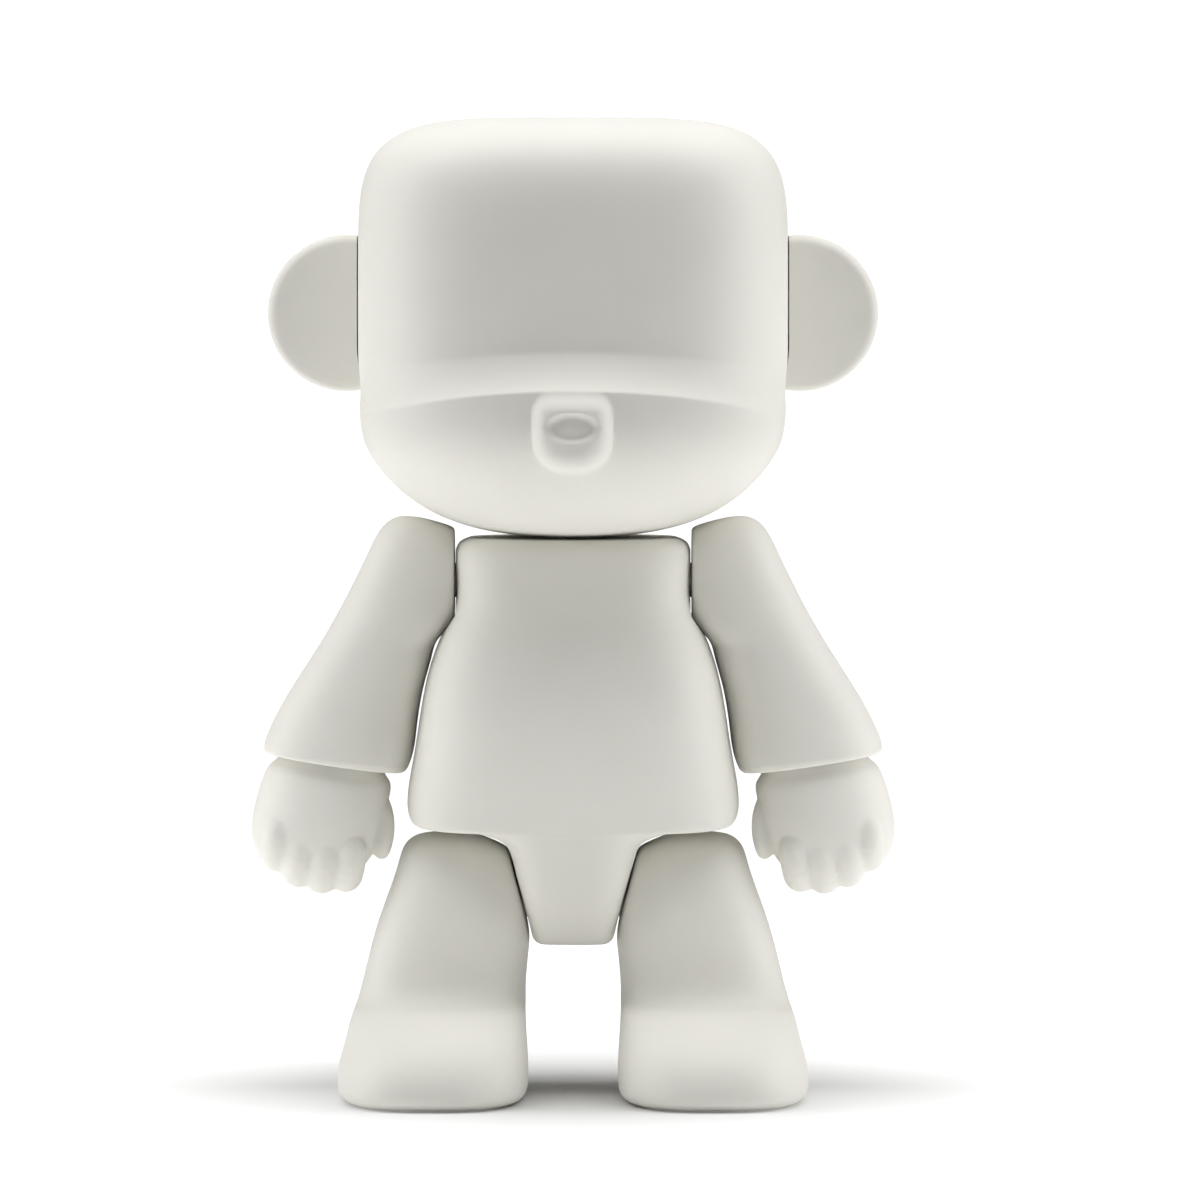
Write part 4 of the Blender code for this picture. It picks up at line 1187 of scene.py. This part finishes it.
def bump(tree, height, strength, depth):
    node = tree.nodes.new("ShaderNodeBump")
    node.inputs["Strength"].default_value = strength
    node.inputs["Distance"].default_value = depth
    tree.links.new(height, node.inputs["Height"])
    return node


def new_material(name):
    """A material's tree, its shader, and the object's own coordinates."""
    material = bpy.data.materials.new(name)
    material.use_nodes = True
    tree = material.node_tree
    place = tree.nodes.new("ShaderNodeTexCoord").outputs["Object"]
    return material, tree, tree.nodes["Principled BSDF"], place


def moulded(finish):
    """Moulded plastic: faint mottling, uneven gloss and a fine grain over slight sink waves."""
    material, tree, shader, place = new_material(finish.name)
    mottle = spread(tree, noise(tree, place, MOTTLE_SCALE, MOTTLE_DETAIL), 0.0, 1.0)
    dim = [channel * MOTTLE_DIM for channel in finish.colour]
    tree.links.new(colour_between(tree, mottle, dim, finish.colour), shader.inputs["Base Color"])
    low, high = finish.roughness - GLOSS_LESS, finish.roughness + GLOSS_MORE
    gloss = spread(tree, noise(tree, place, GLOSS_SCALE, FINE_DETAIL), low, high)
    tree.links.new(gloss, shader.inputs["Roughness"])
    waves = bump(tree, noise(tree, place, WAVE_SCALE, WAVE_DETAIL), WAVE_STRENGTH, WAVE_DEPTH)
    pattern = noise(tree, place, finish.grain_scale, FINE_DETAIL)
    grain = bump(tree, pattern, finish.grain_strength, GRAIN_DEPTH)
    tree.links.new(waves.outputs["Normal"], grain.inputs["Normal"])
    tree.links.new(grain.outputs["Normal"], shader.inputs["Normal"])
    shader.inputs["Specular IOR Level"].default_value = SPECULAR_LEVEL
    if finish.translucency:
        shader.inputs["Subsurface Weight"].default_value = finish.translucency
        shader.inputs["Subsurface Radius"].default_value = GLOW_RADIUS
        shader.inputs["Subsurface Scale"].default_value = GLOW_DEPTH
    return material


# ---------------------------------------------------------------- studio


SENSOR_WIDTH = 36.0
CLIP_RANGE = (0.05, 60.0)
CAMERA_DISTANCE = 1.7
CAMERA_ELEVATION = math.radians(3.0)
FRAME_WIDTH = 0.2496
LOOK_AT = Vector((0.0056, 0.0, 0.103))

# Soft lights: place, what it aims at, width and height, power in watts
LIGHTS = {
    "overhead": ((0, -0.10, 0.66), (0, -0.10, 0.0), (1.2, 0.36), 4.4),
    "rear": ((0, 0.9, 0.7), (0, 0, 0.1), (1.4, 0.7), 0.8),
    "left_side": ((-0.75, -0.06, 0.34), (0, 0, 0.1), (0.7, 0.6), 2.7),
    "right_side": ((0.75, -0.06, 0.34), (0, 0, 0.1), (0.7, 0.6), 2.7),
}
BACKDROP_LEVEL = 1.15
AMBIENT_LEVEL = 0.05
AMBIENT_COLOUR = (0.98, 0.99, 1.0, 1)
WHITE = (1, 1, 1, 1)

# The floor lies in soft shadow round the feet, partly real and partly painted: a painted glow, off
# near the feet, brightens it to white away from them
FLOOR_HALF_WIDTH = 0.5
FLOOR_FRONT, FLOOR_REAR = -0.3, 0.36
FLOOR_SHADES = (0.7, 0.7, 0.698), (0.72, 0.72, 0.718)
FLOOR_MOTTLE_SCALE, FLOOR_MOTTLE_DETAIL = 30.0, 3.0
FLOOR_ROUGHNESS = 0.9
FLOOR_SPECULAR = 0.1
# Strength of the floor's painted glow, and the distances from the origin over which it fades in;
# inside them it leaves a painted shadow round the feet
FLOOR_GLOW = 0.8
FLOOR_GLOW_START, FLOOR_GLOW_END = 0.03, 0.13


def add_camera():
    camera = bpy.data.cameras.new("camera")
    camera.sensor_width = SENSOR_WIDTH
    camera.lens = camera.sensor_width * CAMERA_DISTANCE / FRAME_WIDTH
    camera.clip_start, camera.clip_end = CLIP_RANGE
    obj = bpy.data.objects.new("camera", camera)
    bpy.context.scene.collection.objects.link(obj)
    away = Vector((0, -math.cos(CAMERA_ELEVATION), math.sin(CAMERA_ELEVATION)))
    obj.location = LOOK_AT + away * CAMERA_DISTANCE
    obj.rotation_mode = "QUATERNION"
    obj.rotation_quaternion = (-away).to_track_quat("-Z", "Y")
    bpy.context.scene.camera = obj


def add_soft_light(name, spot, aim, size, power):
    lamp = bpy.data.lights.new(name, "AREA")
    lamp.shape = "RECTANGLE"
    lamp.size, lamp.size_y = size
    lamp.energy = power
    obj = bpy.data.objects.new(name, lamp)
    bpy.context.scene.collection.objects.link(obj)
    obj.location = spot
    obj.rotation_mode = "QUATERNION"
    obj.rotation_quaternion = (Vector(aim) - Vector(spot)).to_track_quat("-Z", "Y")
    obj.visible_camera = False


def background(tree, colour, level):
    node = tree.nodes.new("ShaderNodeBackground")
    node.inputs["Color"].default_value = colour
    node.inputs["Strength"].default_value = level
    return node.outputs["Background"]


def add_world():
    """Plain white to the camera, and a faint even light to everything else."""
    world = bpy.data.worlds.new("studio")
    bpy.context.scene.world = world
    world.use_nodes = True
    tree = world.node_tree
    tree.nodes.clear()
    path = tree.nodes.new("ShaderNodeLightPath")
    mix = tree.nodes.new("ShaderNodeMixShader")
    output = tree.nodes.new("ShaderNodeOutputWorld")
    tree.links.new(path.outputs["Is Camera Ray"], mix.inputs["Fac"])
    tree.links.new(background(tree, AMBIENT_COLOUR, AMBIENT_LEVEL), mix.inputs[1])
    tree.links.new(background(tree, WHITE, BACKDROP_LEVEL), mix.inputs[2])
    tree.links.new(mix.outputs["Shader"], output.inputs["Surface"])


def floor_paper():
    material, tree, shader, place = new_material("floor_paper")
    mottle = noise(tree, place, FLOOR_MOTTLE_SCALE, FLOOR_MOTTLE_DETAIL)
    tree.links.new(colour_between(tree, mottle, *FLOOR_SHADES), shader.inputs["Base Color"])
    shader.inputs["Roughness"].default_value = FLOOR_ROUGHNESS
    shader.inputs["Specular IOR Level"].default_value = FLOOR_SPECULAR
    shader.inputs["Emission Color"].default_value = WHITE
    # Painted glow: emission that rises with the distance from the figure, painting the floor white
    # away from the feet and leaving a painted shadow round them
    distance = tree.nodes.new("ShaderNodeVectorMath")
    distance.operation = "LENGTH"
    tree.links.new(place, distance.inputs[0])
    reach = FLOOR_GLOW_START, FLOOR_GLOW_END
    glow = spread(tree, distance.outputs["Value"], 0.0, FLOOR_GLOW, *reach)
    tree.links.new(glow, shader.inputs["Emission Strength"])
    return material


def add_floor():
    left, right = -FLOOR_HALF_WIDTH, FLOOR_HALF_WIDTH
    outline = (left, FLOOR_FRONT), (right, FLOOR_FRONT), (right, FLOOR_REAR), (left, FLOOR_REAR)
    mesh = new_mesh("floor", [(x, y, 0.0) for x, y in outline], [(0, 1, 2, 3)])
    mesh.materials.append(floor_paper())
    floor = bpy.data.objects.new("floor", mesh)
    bpy.context.scene.collection.objects.link(floor)


# ---------------------------------------------------------------- figure


def make_swivels():
    neck_centre = Vector(JOINTS["neck_swivel"]["pos_m"])
    swivels = {"neck": Swivel("neck", NECK_STUD, neck_centre, UP, WALL + GAP / 3, NECK_REACH)}
    lengths = {
        "shoulder": (SHOULDER_WALL, LIMB_REACH),
        "wrist": (SLEEVE_MOUTH_DEPTH + SLEEVE_FLOOR, WRIST_REACH),
        "hip": (PELVIS_WALL, LIMB_REACH),
    }
    for kind, (wall, reach) in lengths.items():
        for label, side in SIDES.items():
            joint = JOINTS[f"{kind}_{label}"]
            axis = Vector(joint["axis"]).normalized()
            if kind != "wrist" and side < 0:
                axis = -axis
            centre = Vector(joint["pos_m"])
            swivels[kind, label] = Swivel(f"{kind}_{label}", LIMB_STUD, centre, axis, wall, reach)
    return swivels


def remove_helpers():
    for obj in list(bpy.data.objects):
        if obj not in FRAME_OBJECTS and obj.type == "MESH" and obj.hide_render:
            bpy.data.objects.remove(obj, do_unlink=True)


def main():
    finishes = {name: moulded(finish) for name, finish in FINISHES.items()}
    swivels = make_swivels()
    neck = swivels["neck"]
    make_head(neck, finishes)
    make_torso(neck, swivels, finishes)
    for label, side in SIDES.items():
        make_arm(label, side, swivels, finishes)
        make_hand(label, side, swivels, finishes)
        make_leg(label, side, swivels, finishes)
    remove_helpers()
    add_floor()
    for name, light in LIGHTS.items():
        add_soft_light(name, *light)
    add_world()
    add_camera()
    bpy.context.scene.view_settings.view_transform = "Standard"


main()
